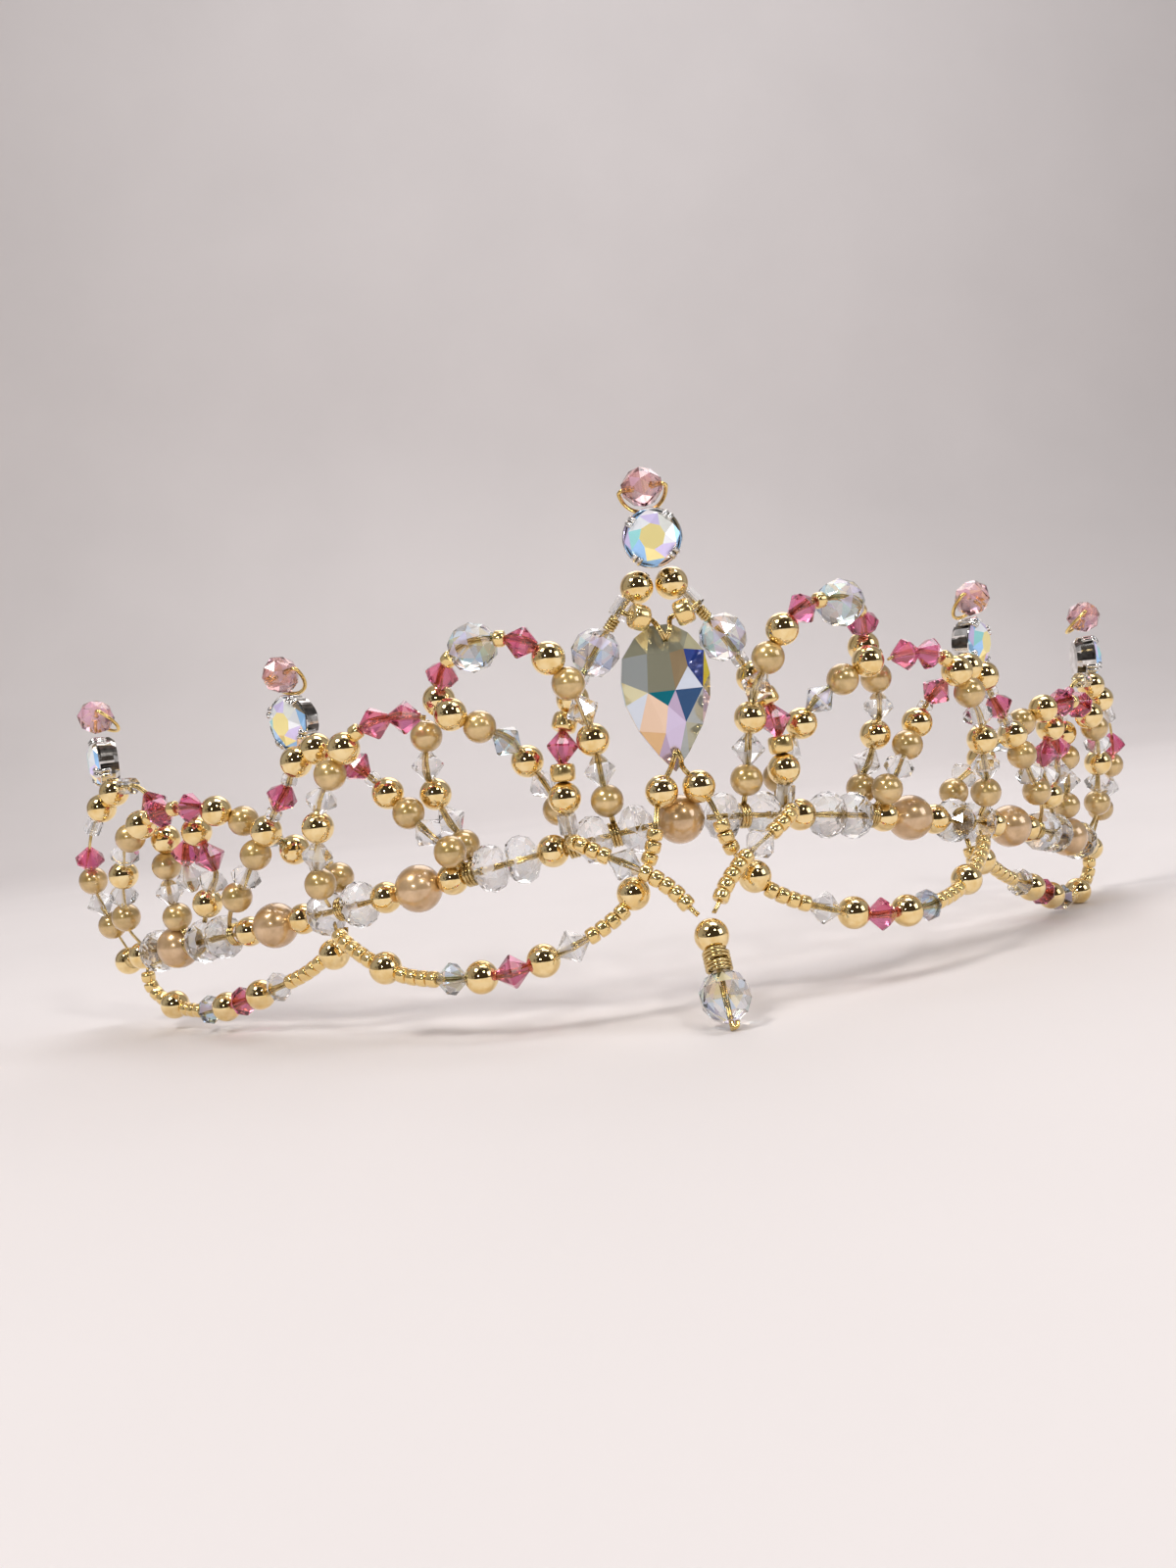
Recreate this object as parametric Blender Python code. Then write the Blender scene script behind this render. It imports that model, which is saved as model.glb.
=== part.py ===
"""Beaded tiara: strings of beads on gilt wire, five set stones on posts, a cut centre stone and a drop.

All tables are in millimetres. A place on the tiara is written as (along, up, out): along the band from its
middle, up the leaning face, and out of that face towards the front. The left half mirrors the right half.
"""
import math

import bmesh
import bpy
from mathutils import Matrix, Vector

MM = 0.001
SIDES = 10
GAP = 0.3

# Band: its plan bends most at the brow, least above the temples
BROW_RADIUS = 44.5
TEMPLE_RADIUS = 153.0
END_RADIUS = 77.0
TEMPLE_AT = 50.0
END_AT = 88.0
FACE_LEAN = math.radians(20.0)

# Each half of the band sags by its own amount and its end drops by its own amount, as handmade work does
BAND_SAG = {"right": 1.4, "left": 2.6}
END_DROP = {"right": 2.4, "left": 0.0}

# Beads
GOLD_D = 4.0
PEARL_D = 4.0
BICONE_D = 4.0
BIG_PEARL_D = 6.0
ROUND_CRYSTAL_D = 6.0
RONDELLE_D = 6.0
RONDELLE_LEN = 4.1
SEED_D = 2.0
SEED_LEN = 1.45
LARGE_SEED_D = 3.1
LARGE_SEED_LEN = 2.3
TUBE_D = 2.4
TUBE_LEN = 2.4
HOLE_DISH = 0.1
WIRE_D = 0.7
BARE_WIRE_LEN = 1.0
COIL_D = 2.0
COIL_LEN = 1.2
NECK_D = 1.5

# Set stones, tip beads, centre stone
CUP_D = 7.2
CUP_DEPTH = 2.7
CUP_CROWN = 1.3
TABLE_SHARE = 0.5
CLAW_COUNT = 4
TIP_BEAD_D = 5.0
TIP_LOOP_GAP = 0.4
STONE_LEN = 17.6
STONE_WIDTH = 10.8
STONE_THICK = 5.2
GIRDLE_THICK = 0.7

# kind: (diameter, length along the string, form)
BEADS = {
    "gold": (GOLD_D, GOLD_D - 2 * HOLE_DISH, "round"),
    "pearl": (PEARL_D, PEARL_D - 2 * HOLE_DISH, "round"),
    "big_pearl": (BIG_PEARL_D, BIG_PEARL_D - 2 * HOLE_DISH, "round"),
    "crystal": (ROUND_CRYSTAL_D, ROUND_CRYSTAL_D - 2 * HOLE_DISH, "round"),
    "rondelle": (RONDELLE_D, RONDELLE_LEN, "round"),
    "clear": (BICONE_D, BICONE_D - 2 * HOLE_DISH, "bicone"),
    "rainbow": (BICONE_D, BICONE_D - 2 * HOLE_DISH, "bicone"),
    "pink": (BICONE_D, BICONE_D - 2 * HOLE_DISH, "bicone"),
    "tip": (TIP_BEAD_D, TIP_BEAD_D - 2 * HOLE_DISH, "bicone"),
    "seed": (SEED_D, SEED_LEN, "slim"),
    "clear_seed": (SEED_D, SEED_LEN, "slim"),
    "large_seed": (LARGE_SEED_D, LARGE_SEED_LEN, "bicone"),
    "tube": (TUBE_D, TUBE_LEN, "bicone"),
    "coil": (COIL_D, COIL_LEN, "slim"),
    "wire": (WIRE_D, BARE_WIRE_LEN, "slim"),
}

# name: (share of spare wire at the start, beads in order, route through chosen places)
STRINGS = {
    "arch": (1.0, "pearl clear gold clear pearl gold pink seed crystal seed pink gold", [
        (8.0, 1.4, 0.3), (8.4, 5.0, 0.8), (8.6, 11.0, 1.5), (9.0, 14.7, 2.2), (9.9, 18.4, 3.7),
        (11.2, 21.9, 4.2), (13.4, 24.9, 4.3), (18.5, 26.5, 4.0), (22.2, 25.2, 2.6), (24.0, 23.2, 1.0),
        (25.6, 19.9, -1.2)]),
    "crown": (0.4, "gold tube wire*2 crystal clear_seed gold large_seed pink large_seed gold tube", [
        (0.55, 29.6, -0.9), (2.1, 28.1, -0.5), (6.7, 22.2, -0.9), (9.8, 17.9, -1.5), (11.5, 14.7, -0.5),
        (12.4, 11.7, 0.5), (12.6, 9.0, 0.9), (13.0, 6.3, 1.1), (13.3, 2.9, 0.9), (13.3, 1.3, 0.6)]),
    "bridge": (0.3, "pink pink seed gold pearl clear gold clear pearl", [
        (25.6, 19.7, 3.5), (28.2, 20.8, 4.0), (31.5, 21.0, 4.5), (34.2, 20.2, 4.9), (36.2, 18.4, 5.1),
        (38.4, 16.1, 4.9), (40.8, 13.7, 4.4), (42.4, 10.5, 3.8), (44.1, 7.2, 3.4), (45.1, 4.0, 3.4),
        (45.3, 0.9, 2.2)]),
    "brace_inner": (0.1, "gold pearl rainbow gold clear pearl", [
        (24.2, 20.6, 4.0), (22.8, 19.0, 3.0), (20.5, 16.8, 1.7), (18.0, 14.5, 0.3), (16.7, 11.0, -1.3),
        (15.5, 7.8, -2.9), (14.6, 4.4, -3.6), (13.6, 1.1, -1.8)]),
    "brace_middle": (0.0, "pearl clear gold clear pearl", [
        (27.2, 19.4, -0.9), (27.8, 17.5, -1.1), (29.2, 14.0, -1.8), (29.2, 10.4, -2.3), (28.5, 6.8, -2.7),
        (27.4, 3.8, -3.2), (26.6, 1.2, -1.3)]),
    "peak": (0.15, "pearl clear pearl gold clear_seed pink wire*2 gold gold "
             "clear_seed pink clear_seed gold pearl clear pearl", [
                 (26.5, 1.3, 1.0), (27.3, 3.6, 2.4), (29.8, 6.6, 1.6), (31.9, 9.4, 0.6), (34.0, 12.4, 0.1),
                 (36.2, 15.6, 0.0), (38.7, 19.8, 1.9), (40.9, 20.9, 2.8), (43.4, 19.6, 2.8), (45.0, 17.2, 2.8),
                 (47.2, 15.2, 2.9), (51.1, 11.6, 3.0), (54.0, 8.9, 3.0), (57.4, 6.2, 2.6), (61.2, 3.4, 2.1),
                 (63.9, 1.2, 0.8)]),
    "side_arch": (0.3, "pearl clear gold rainbow pearl gold pink seed pink seed "
                  "gold pearl clear gold clear pearl", [
                      (45.3, 1.4, -1.4), (46.2, 4.0, -3.6), (49.6, 6.8, -3.2), (51.8, 9.0, -2.5),
                      (53.4, 11.6, -1.2), (54.6, 14.2, 1.0), (56.2, 16.4, 2.9), (58.9, 17.9, 4.1),
                      (63.4, 18.6, 4.5), (68.0, 18.2, 4.1), (71.0, 17.3, 3.8), (74.5, 15.7, 3.5),
                      (77.2, 13.2, 3.0), (79.8, 10.6, 2.5), (82.3, 7.8, 2.1), (84.2, 4.6, 1.8),
                      (84.4, 1.3, 0.6)]),
    "diamond_inner": (0.0, "gold pink clear gold", [
        (62.8, 16.6, 1.9), (62.7, 15.2, 1.7), (62.3, 11.6, 1.2), (62.6, 8.6, 1.0), (65.4, 6.2, 0.8),
        (68.7, 2.6, 0.4)]),
    "diamond_outer": (0.5, "pink clear", [
        (65.4, 14.0, 1.2), (67.1, 12.0, 0.8), (68.3, 8.8, 0.7), (68.2, 7.0, 0.6)]),
    "end_peak": (0.3, "pearl clear pearl gold clear_seed pink wire*2 tube gold gold "
                 "tube wire*3 pink pearl clear pearl", [
                     (73.3, 1.3, 0.5), (74.0, 3.8, 0.4), (74.2, 7.2, 0.0), (73.0, 10.1, 0.1),
                     (71.4, 13.3, 0.1), (70.1, 17.0, -0.4), (70.0, 20.2, 0.0), (71.6, 23.2, 1.0),
                     (75.8, 23.4, 1.5), (79.6, 21.0, 2.2), (82.6, 18.3, 2.8), (86.0, 14.6, 2.6),
                     (88.6, 10.6, 1.9), (89.9, 6.2, 1.1), (89.6, 1.2, 0.4)]),
    "swag": (0.1, "wire gold wire*3 seed*3 wire*2 gold seed*4 clear gold pink gold rainbow "
             "seed*4 gold seed*5", [
                 (0.7, 6.3, 1.1), (2.3, 4.0, 1.8), (3.5, 0.4, 4.2), (4.3, -2.5, 4.3), (5.7, -4.9, 4.0),
                 (7.6, -7.7, 5.0), (11.6, -9.8, 6.0), (16.0, -10.9, 6.8), (19.6, -11.5, 7.6),
                 (23.4, -11.4, 8.2), (27.2, -10.8, 8.2), (30.8, -10.2, 7.6), (35.2, -8.9, 6.8),
                 (39.0, -6.7, 6.0), (42.2, -4.4, 4.8), (44.2, -2.6, 3.8), (45.2, -1.2, 2.5)]),
    "drape": (0.3, "seed*4 clear seed*5", [
        (13.2, 1.0, 2.4), (11.9, 0.4, 4.4), (9.4, -1.5, 5.3), (6.9, -3.2, 6.0), (4.6, -5.0, 7.0),
        (2.6, -7.2, 8.0), (1.6, -8.9, 8.8), (0.8, -10.0, 9.3)]),
    "end_swag": (0.7, "seed gold seed*5 clear gold pink gold rainbow seed*3 gold seed*4", [
        (45.3, -2.3, 0.4), (45.9, -5.0, 1.4), (48.8, -5.4, 1.6), (52.8, -6.8, 1.6), (60.0, -8.1, 1.4),
        (66.6, -9.0, 1.2), (70.6, -9.4, 1.0), (74.7, -9.4, 0.9), (78.6, -8.9, 0.9), (82.4, -7.6, 1.0),
        (85.2, -5.4, 1.2), (85.2, -3.6, 1.4), (84.6, -1.9, 1.2)]),
    "hanger": (0.3, "large_seed", [
        (1.0, 24.2, 1.0), (2.5, 24.7, 2.0), (4.0, 25.8, 1.6)]),
}
BAND_BEADS = ("rondelle coil rondelle coil gold rondelle rondelle coil gold big_pearl gold rondelle coil rondelle "
              "gold big_pearl gold coil rondelle rondelle coil big_pearl rondelle coil gold coil gold")
BAND_START = BIG_PEARL_D / 2 + GAP
PENDANT_BEADS = "gold coil coil crystal wire"
PENDANT_ROUTE = [(0.0, -10.6, 10.0), (0.0, -21.6, 17.1)]

# name: (string it stands over, along, up and out from the highest chosen place of that string, turn from straight
# ahead and tilt up in degrees, tip bead's shift along, and how much further along and up the handmade left one
# sits than the middle of the pair)
SET_STONES = {
    "centre": ("crown", -0.55, 4.0, 1.9, -12.0, -18.0, -0.4, 0.0, 0.0),
    "post": ("peak", 3.8, 3.5, -2.8, 46.0, -16.0, -0.2, -0.4, 0.1),
    "end_post": ("end_peak", 2.6, 4.7, -1.5, 74.0, -6.0, -1.6, 0.0, 0.0),
}
TIP_HEIGHT = 6.1
TIP_BEHIND = 1.2
TIP_LOOP_LEAN = math.radians(58.0)
# half outline of the centre stone from its tip: (share of half width, share of length)
STONE_OUTLINE = [(0.0, 0.0), (0.34, 0.12), (0.72, 0.30), (0.95, 0.48), (1.0, 0.64), (0.92, 0.80), (0.60, 0.93),
                 (0.24, 1.0)]
STONE_TIP = (5.8, 0.4)
STONE_TOP = (23.3, -0.2)


def curvature(along):
    """Bend of the band in plan, a parabola through its brow, temple and end values."""
    brow, temple, end = 1 / BROW_RADIUS, 1 / TEMPLE_RADIUS, 1 / END_RADIUS
    near = brow * (along - TEMPLE_AT) * (along - END_AT) / (TEMPLE_AT * END_AT)
    middle = temple * along * (along - END_AT) / (TEMPLE_AT * (TEMPLE_AT - END_AT))
    far = end * along * (along - TEMPLE_AT) / (END_AT * (END_AT - TEMPLE_AT))
    return near + middle + far


def band_plan(step=0.5, reach=110.0):
    """Places and headings along the band's plan curve."""
    x, y, heading, along = 0.0, 0.0, 0.0, 0.0
    rows = [(x, y, heading)]
    while along < reach:
        turned = heading + curvature(along + step / 2) * step
        x += math.cos((heading + turned) / 2) * step
        y += math.sin((heading + turned) / 2) * step
        heading = turned
        along += step
        rows.append((x, y, heading))
    return rows, step


PLAN, PLAN_STEP = band_plan()


def plan_at(along):
    """Plan position and heading at a distance along the band."""
    share = max(0.0, min(along / PLAN_STEP, len(PLAN) - 1.001))
    low = int(share)
    mix = share - low
    return [a + (b - a) * mix for a, b in zip(PLAN[low], PLAN[low + 1])]


def place(point, side):
    """Turn (along, up, out) into x, y, z with the band flat."""
    along, up, out = point
    x, y, heading = plan_at(along)
    forward = up * math.sin(FACE_LEAN) + out * math.cos(FACE_LEAN)
    rise = up * math.cos(FACE_LEAN) - out * math.sin(FACE_LEAN)
    share = min(along / END_AT, 1.0)
    rise -= BAND_SAG[side] * math.sin(math.pi * share) + END_DROP[side] * share ** 3
    x += math.sin(heading) * forward
    y -= math.cos(heading) * forward
    return Vector((x if side == "right" else -x, y, rise))


def smooth_path(points, steps=12):
    """Points along a smooth curve through the given ones, its knots spaced by chord length."""
    knots = [0.0]
    for a, b in zip(points, points[1:]):
        knots.append(knots[-1] + max((b - a).length, 1e-6))
    path = []
    for i in range(len(points) - 1):
        p1, p2 = points[i], points[i + 1]
        span = knots[i + 1] - knots[i]
        slope1 = (p2 - p1) / span
        slope2 = slope1
        if i > 0:
            slope1 = (p2 - points[i - 1]) / (knots[i + 1] - knots[i - 1])
        if i + 2 < len(points):
            slope2 = (points[i + 2] - p1) / (knots[i + 2] - knots[i])
        for k in range(steps):
            t = k / steps
            path.append(p1 * (2 * t**3 - 3 * t**2 + 1) + p2 * (3 * t**2 - 2 * t**3)
                        + slope1 * span * (t**3 - 2 * t**2 + t) + slope2 * span * (t**3 - t**2))
    path.append(points[-1])
    return path


class Path:
    """A curve read by its length."""

    def __init__(self, points):
        self.points = points
        self.stations = [0.0]
        for a, b in zip(points, points[1:]):
            self.stations.append(self.stations[-1] + (b - a).length)
        self.length = self.stations[-1]

    def at(self, distance):
        """Point at a distance, straight on past either end."""
        last = len(self.points) - 2
        i = 0
        while i < last and self.stations[i + 1] < distance:
            i += 1
        span = self.stations[i + 1] - self.stations[i]
        return self.points[i].lerp(self.points[i + 1], (distance - self.stations[i]) / span)


def bead_list(text):
    """Bead kinds in order, with a run such as seed*3 written out as (kind, count)."""
    beads = []
    for word in text.split():
        kind, _, count = word.partition("*")
        beads.append((kind, int(count or 1)))
    return beads


def string_places(text, path, lead):
    """Each bead's (kind, count, entry, exit) along a path, after a share of the spare wire."""
    beads = bead_list(text)
    total = sum(BEADS[kind][1] * count for kind, count in beads)
    distance = max(path.length - total, 0.0) * lead
    places = []
    for kind, count in beads:
        step = BEADS[kind][1] * count
        places.append((kind, count, distance, distance + step))
        distance += step
    return places


def bead_rings(kind, count, path, start, end):
    """Rings (centre, direction, radius) of one bead or run between its two holes."""
    diameter, length, form = BEADS[kind]
    radius = diameter / 2
    if form == "slim":
        pieces = 1 + count // 3
        return [(path.at(start + (end - start) * i / pieces), None, radius) for i in range(1, pieces)]
    entry, leave = path.at(start), path.at(end)
    axis = (leave - entry).normalized()
    middle = (entry + leave) / 2
    if form == "bicone":
        return [(middle, axis, radius)]
    return [(middle + axis * (sign * 0.38 * length / 2), axis, 0.94 * radius) for sign in (-1, 1)]


def string_rings(places, path):
    """All rings of a string: bead bodies, with a narrow neck where one bead meets the next."""
    rings = []
    first, last = places[0][2], places[-1][3]
    if first > 0.2:
        rings.append((path.at(0.0), None, WIRE_D / 2))
    rings.append((path.at(first), None, neck_radius(places[0], places[0])))
    for i, item in enumerate(places):
        kind, count, start, end = item
        rings += bead_rings(kind, count, path, start, end)
        following = places[min(i + 1, len(places) - 1)]
        rings.append((path.at(end), None, neck_radius(item, following)))
    if path.length - last > 0.2:
        rings.append((path.at(path.length), None, WIRE_D / 2))
    return rings


def neck_radius(item, following):
    """Neck where two beads meet, as wide as a slim one of the two."""
    widths = [BEADS[kind][0] / 2 for kind in (item[0], following[0]) if BEADS[kind][2] == "slim"]
    return min(widths, default=NECK_D / 2)


def chain_mesh(name, rings, closed=False):
    """One closed body through rings, its corners carried along without twist."""
    mesh = bpy.data.meshes.new(name)
    bm = bmesh.new()
    frame = None
    loops = []
    count = len(rings)
    for i, (centre, direction, radius) in enumerate(rings):
        if direction is None:
            before = rings[(i - 1) % count if closed else max(i - 1, 0)][0]
            after = rings[(i + 1) % count if closed else min(i + 1, count - 1)][0]
            direction = (after - before).normalized()
        if frame is None:
            side = direction.orthogonal().normalized()
        else:
            side = (frame - direction * frame.dot(direction)).normalized()
        frame = side
        over = direction.cross(side)
        corners = []
        for k in range(SIDES):
            angle = 2 * math.pi * k / SIDES
            corner = centre + (side * math.cos(angle) + over * math.sin(angle)) * radius
            corners.append(bm.verts.new(corner * MM))
        loops.append(corners)
    for low, high in zip(loops, loops[1:]):
        join_loops(bm, low, high, 0)
    if closed:
        shift = min(range(SIDES), key=lambda k: (loops[-1][0].co - loops[0][k].co).length)
        join_loops(bm, loops[-1], loops[0], shift)
    else:
        bm.faces.new(list(reversed(loops[0])))
        bm.faces.new(loops[-1])
    bm.normal_update()
    bm.to_mesh(mesh)
    bm.free()
    return mesh


def join_loops(bm, low, high, shift):
    """Band of faces between two rings of corners."""
    for k in range(SIDES):
        n = (k + 1) % SIDES
        bm.faces.new([low[k], low[n], high[(n + shift) % SIDES], high[(k + shift) % SIDES]])


def material(name, colour, roughness, metallic, transmission=0.0):
    """A Principled material, made once and shared."""
    if name in bpy.data.materials:
        return bpy.data.materials[name]
    made = bpy.data.materials.new(name)
    made.use_nodes = True
    shader = made.node_tree.nodes["Principled BSDF"]
    shader.inputs["Base Color"].default_value = (*colour, 1.0)
    shader.inputs["Roughness"].default_value = roughness
    shader.inputs["Metallic"].default_value = metallic
    shader.inputs["Transmission Weight"].default_value = transmission
    return made


def finish(name):
    """The part's materials by plain name."""
    table = {
        "gold": ((0.83, 0.58, 0.22), 0.15, 1.0, 0.0),
        "pearl": ((0.62, 0.42, 0.24), 0.25, 0.0, 0.0),
        "clear": ((0.95, 0.95, 0.97), 0.05, 0.0, 0.9),
        "rose": ((0.95, 0.55, 0.58), 0.05, 0.0, 0.7),
        "silver": ((0.80, 0.80, 0.80), 0.20, 1.0, 0.0),
    }
    return material(name, *table[name])


def add_object(name, mesh, looks):
    """An object in the scene with its finish and a tidy smooth shading."""
    mesh.materials.append(finish(looks))
    mesh.shade_smooth()
    mesh.set_sharp_from_angle(angle=math.radians(30))
    item = bpy.data.objects.new(name, mesh)
    bpy.context.scene.collection.objects.link(item)
    return item


def route_path(route, side):
    """Smooth path of a route on one side."""
    return Path(smooth_path([place(point, side) for point in route]))


def make_string(name, side):
    """A string of beads on one side, as one body."""
    lead, text, route = STRINGS[name]
    path = route_path(route, side)
    rings = string_rings(string_places(text, path, lead), path)
    return add_object(f"{name}_{side}", chain_mesh(name, rings), "gold")


def band_path(side):
    """The band's wire from beside the middle pearl to its end."""
    length = sum(BEADS[kind][1] * count for kind, count in bead_list(BAND_BEADS))
    stops = 24
    route = [(BAND_START + length * i / stops, 0.0, 0.0) for i in range(stops + 1)]
    return Path(smooth_path([place(point, side) for point in route], 6))


def make_band(side):
    """Half of the band, from the middle pearl to its end."""
    path = band_path(side)
    rings = string_rings(string_places(BAND_BEADS, path, 0.0), path)
    return add_object(f"band_{side}", chain_mesh("band", rings), "gold")


def make_middle_pearl():
    """Large pearl in the middle of the band."""
    half = Vector((BEADS["big_pearl"][1] / 2, 0.0, 0.0))
    path = Path([-half, half])
    rings = string_rings(string_places("big_pearl", path, 0.0), path)
    return add_object("middle_pearl", chain_mesh("middle_pearl", rings), "pearl")


def make_pendant():
    """Drop under the brow: gold bead, wire coil, crystal and the wire's turned end."""
    path = Path([place(point, "right") for point in PENDANT_ROUTE])
    middle = [Vector((0.0, p.y, p.z)) for p in path.points]
    path = Path(middle)
    rings = string_rings(string_places(PENDANT_BEADS, path, 0.5), path)
    return add_object("pendant", chain_mesh("pendant", rings), "clear")


def facing_matrix(centre, turn, tilt):
    """Place with local Z out of the stone's table and local X sideways."""
    spin = Matrix.Rotation(turn, 4, "Z") @ Matrix.Rotation(-tilt, 4, "X") @ Matrix.Rotation(math.pi / 2, 4, "X")
    return Matrix.Translation(centre) @ spin


def setting_profile():
    """(height, radius) down the cup's back, wall and rim, then up the stone to its table."""
    wall = CUP_D / 2
    return [
        (-CUP_DEPTH, 0.62 * wall), (-CUP_DEPTH + 0.5, 0.86 * wall), (-0.2, wall), (0.1, wall),
        (0.25, 0.93 * wall), (CUP_CROWN, TABLE_SHARE * wall),
    ]


def make_setting(name, centre, turn, tilt):
    """Round stone in a claw cup, as one body."""
    mesh = bpy.data.meshes.new(name)
    bm = bmesh.new()
    sides = 3 * CLAW_COUNT
    loops = []
    for row, (height, radius) in enumerate(setting_profile()):
        corners = []
        for k in range(sides):
            claw = row in (3, 4) and k % 3 == 0
            rise = 0.55 if claw else 0.0
            inward = 0.97 if claw and row == 4 else 1.0
            angle = 2 * math.pi * k / sides
            corners.append(bm.verts.new(Vector((
                radius * inward * math.cos(angle), radius * inward * math.sin(angle), height + rise)) * MM))
        loops.append(corners)
    for low, high in zip(loops, loops[1:]):
        for k in range(sides):
            n = (k + 1) % sides
            bm.faces.new([low[k], low[n], high[n], high[k]])
    bm.faces.new(list(reversed(loops[0])))
    bm.faces.new(loops[-1])
    bm.to_mesh(mesh)
    bm.free()
    item = add_object(name, mesh, "silver")
    item.matrix_world = facing_matrix(centre * MM, turn, tilt)
    return item


def make_tip(name, centre, turn):
    """Tip bead lying across the post, in a loop of wire that leans back behind the set stone."""
    across = Vector((math.cos(turn), math.sin(turn), 0.0))
    back = Vector((-math.sin(turn), math.cos(turn), 0.0))
    down = back * math.sin(TIP_LOOP_LEAN) - Vector((0.0, 0.0, math.cos(TIP_LOOP_LEAN)))
    half = BEADS["tip"][1] / 2
    clear = TIP_LOOP_GAP + WIRE_D / 2
    drop = TIP_BEAD_D / 2 + clear
    reach = half + clear
    rings = [(centre, across, TIP_BEAD_D / 2), (centre + across * half, across, NECK_D / 2)]
    for degrees in (15, 50, 90, 130, 165):
        angle = math.radians(degrees)
        spot = centre + across * (reach * math.cos(angle)) + down * (drop * math.sin(angle))
        rings.append((spot, None, WIRE_D / 2))
    rings.append((centre - across * half, across, NECK_D / 2))
    return add_object(name, chain_mesh(name, rings, closed=True), "rose")


def stone_outline():
    """Outline of the centre stone in its own plane, tip at the origin."""
    half = STONE_WIDTH / 2
    right = [(half * x, STONE_LEN * y) for x, y in STONE_OUTLINE]
    left = [(-x, y) for x, y in reversed(right) if x > 0]
    return right + left


def make_centre_stone():
    """Long cut stone: girdle, crown facets up to a table and a like back."""
    tip = place((0.0, *STONE_TIP), "right")
    top = place((0.0, *STONE_TOP), "right")
    tip.x = top.x = 0.0
    mesh = bpy.data.meshes.new("centre_stone")
    bm = bmesh.new()
    outline = stone_outline()
    middle_height = 0.55 * STONE_LEN
    layers = [(-STONE_THICK / 2, 0.42), (-GIRDLE_THICK / 2, 1.0), (GIRDLE_THICK / 2, 1.0), (STONE_THICK / 2, 0.42)]
    loops = []
    for height, share in layers:
        loops.append([bm.verts.new(Vector((x * share, middle_height + (y - middle_height) * share, height)) * MM)
                      for x, y in outline])
    count = len(outline)
    for low, high in zip(loops, loops[1:]):
        for k in range(count):
            n = (k + 1) % count
            bm.faces.new([low[k], low[n], high[n], high[k]])
    bm.faces.new(list(reversed(loops[0])))
    bm.faces.new(loops[-1])
    bm.to_mesh(mesh)
    bm.free()
    item = add_object("centre_stone", mesh, "clear")
    rise = (top - tip).normalized()
    front = Vector((1.0, 0.0, 0.0)).cross(rise)
    item.matrix_world = Matrix.Translation(tip * MM) @ Matrix((
        (1.0, rise.x, front.x, 0.0), (0.0, rise.y, front.y, 0.0), (0.0, rise.z, front.z, 0.0),
        (0.0, 0.0, 0.0, 1.0)))
    return item


def make_crest(kind, side, name):
    """A set stone with its tip bead above it."""
    string, off_along, off_up, off_out, turn, tilt, tip_shift, more_along, more_up = SET_STONES[kind]
    sign = -1.0 if side == "left" else 1.0
    along, up, out = max(STRINGS[string][2], key=lambda point: point[1])
    along += off_along - sign * more_along
    up += off_up - sign * more_up
    out += off_out
    centre = place((along, up, out), side)
    above = place((along + tip_shift, up + TIP_HEIGHT, out - TIP_BEHIND), side)
    if kind == "centre":
        centre.x = 0.0
        above.x = tip_shift
    turn = math.radians(turn) * sign
    make_setting(f"set_stone_{name}", centre, turn, math.radians(tilt))
    make_tip(f"tip_bead_{name}", above, turn)


def rest_angle(objects):
    """Angle that tips the tiara until its drop and its rear swags touch one level surface."""
    front = [c for c in world_corners(objects["pendant"])]
    rear = [c for side in BAND_SAG for c in world_corners(objects[f"end_swag_{side}"])]
    low, high = 0.0, math.radians(45)
    for _ in range(30):
        angle = (low + high) / 2
        turned = Matrix.Rotation(-angle, 3, "X")
        if min((turned @ c).z for c in front) < min((turned @ c).z for c in rear):
            low = angle
        else:
            high = angle
    return angle


def world_corners(item):
    """Corner places of an object in the world."""
    return [item.matrix_world @ vertex.co for vertex in item.data.vertices]


def seat(objects):
    """Tip the whole tiara to its rest angle and stand it with the origin under its middle."""
    turned = Matrix.Rotation(-rest_angle(objects), 4, "X")
    for item in objects.values():
        item.matrix_world = turned @ item.matrix_world
    corners = [c for item in objects.values() for c in world_corners(item)]
    low = Vector([min(c[i] for c in corners) for i in range(3)])
    high = Vector([max(c[i] for c in corners) for i in range(3)])
    shift = Matrix.Translation((-(low.x + high.x) / 2, -(low.y + high.y) / 2, -low.z))
    for item in objects.values():
        item.matrix_world = shift @ item.matrix_world


def build():
    """Make every piece, then stand the tiara on its rest points."""
    for item in list(bpy.data.objects):
        bpy.data.objects.remove(item, do_unlink=True)
    make_middle_pearl()
    make_centre_stone()
    make_pendant()
    make_crest("centre", "right", "centre")
    for side in BAND_SAG:
        make_band(side)
        for name in STRINGS:
            make_string(name, side)
        make_crest("post", side, f"post_{side}")
        make_crest("end_post", side, f"end_{side}")
    bpy.context.view_layer.update()
    seat({item.name: item for item in bpy.data.objects})


build()
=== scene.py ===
"""Looks of the beaded tiara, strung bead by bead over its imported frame.

Tables are in millimetres. A place is (along, up, out): along the band from its middle, up the leaning
face, and out of that face towards the front. The left half mirrors the right half.
"""

import math
import random

import bpy
import numpy as np
from mathutils import Matrix, Vector


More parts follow.
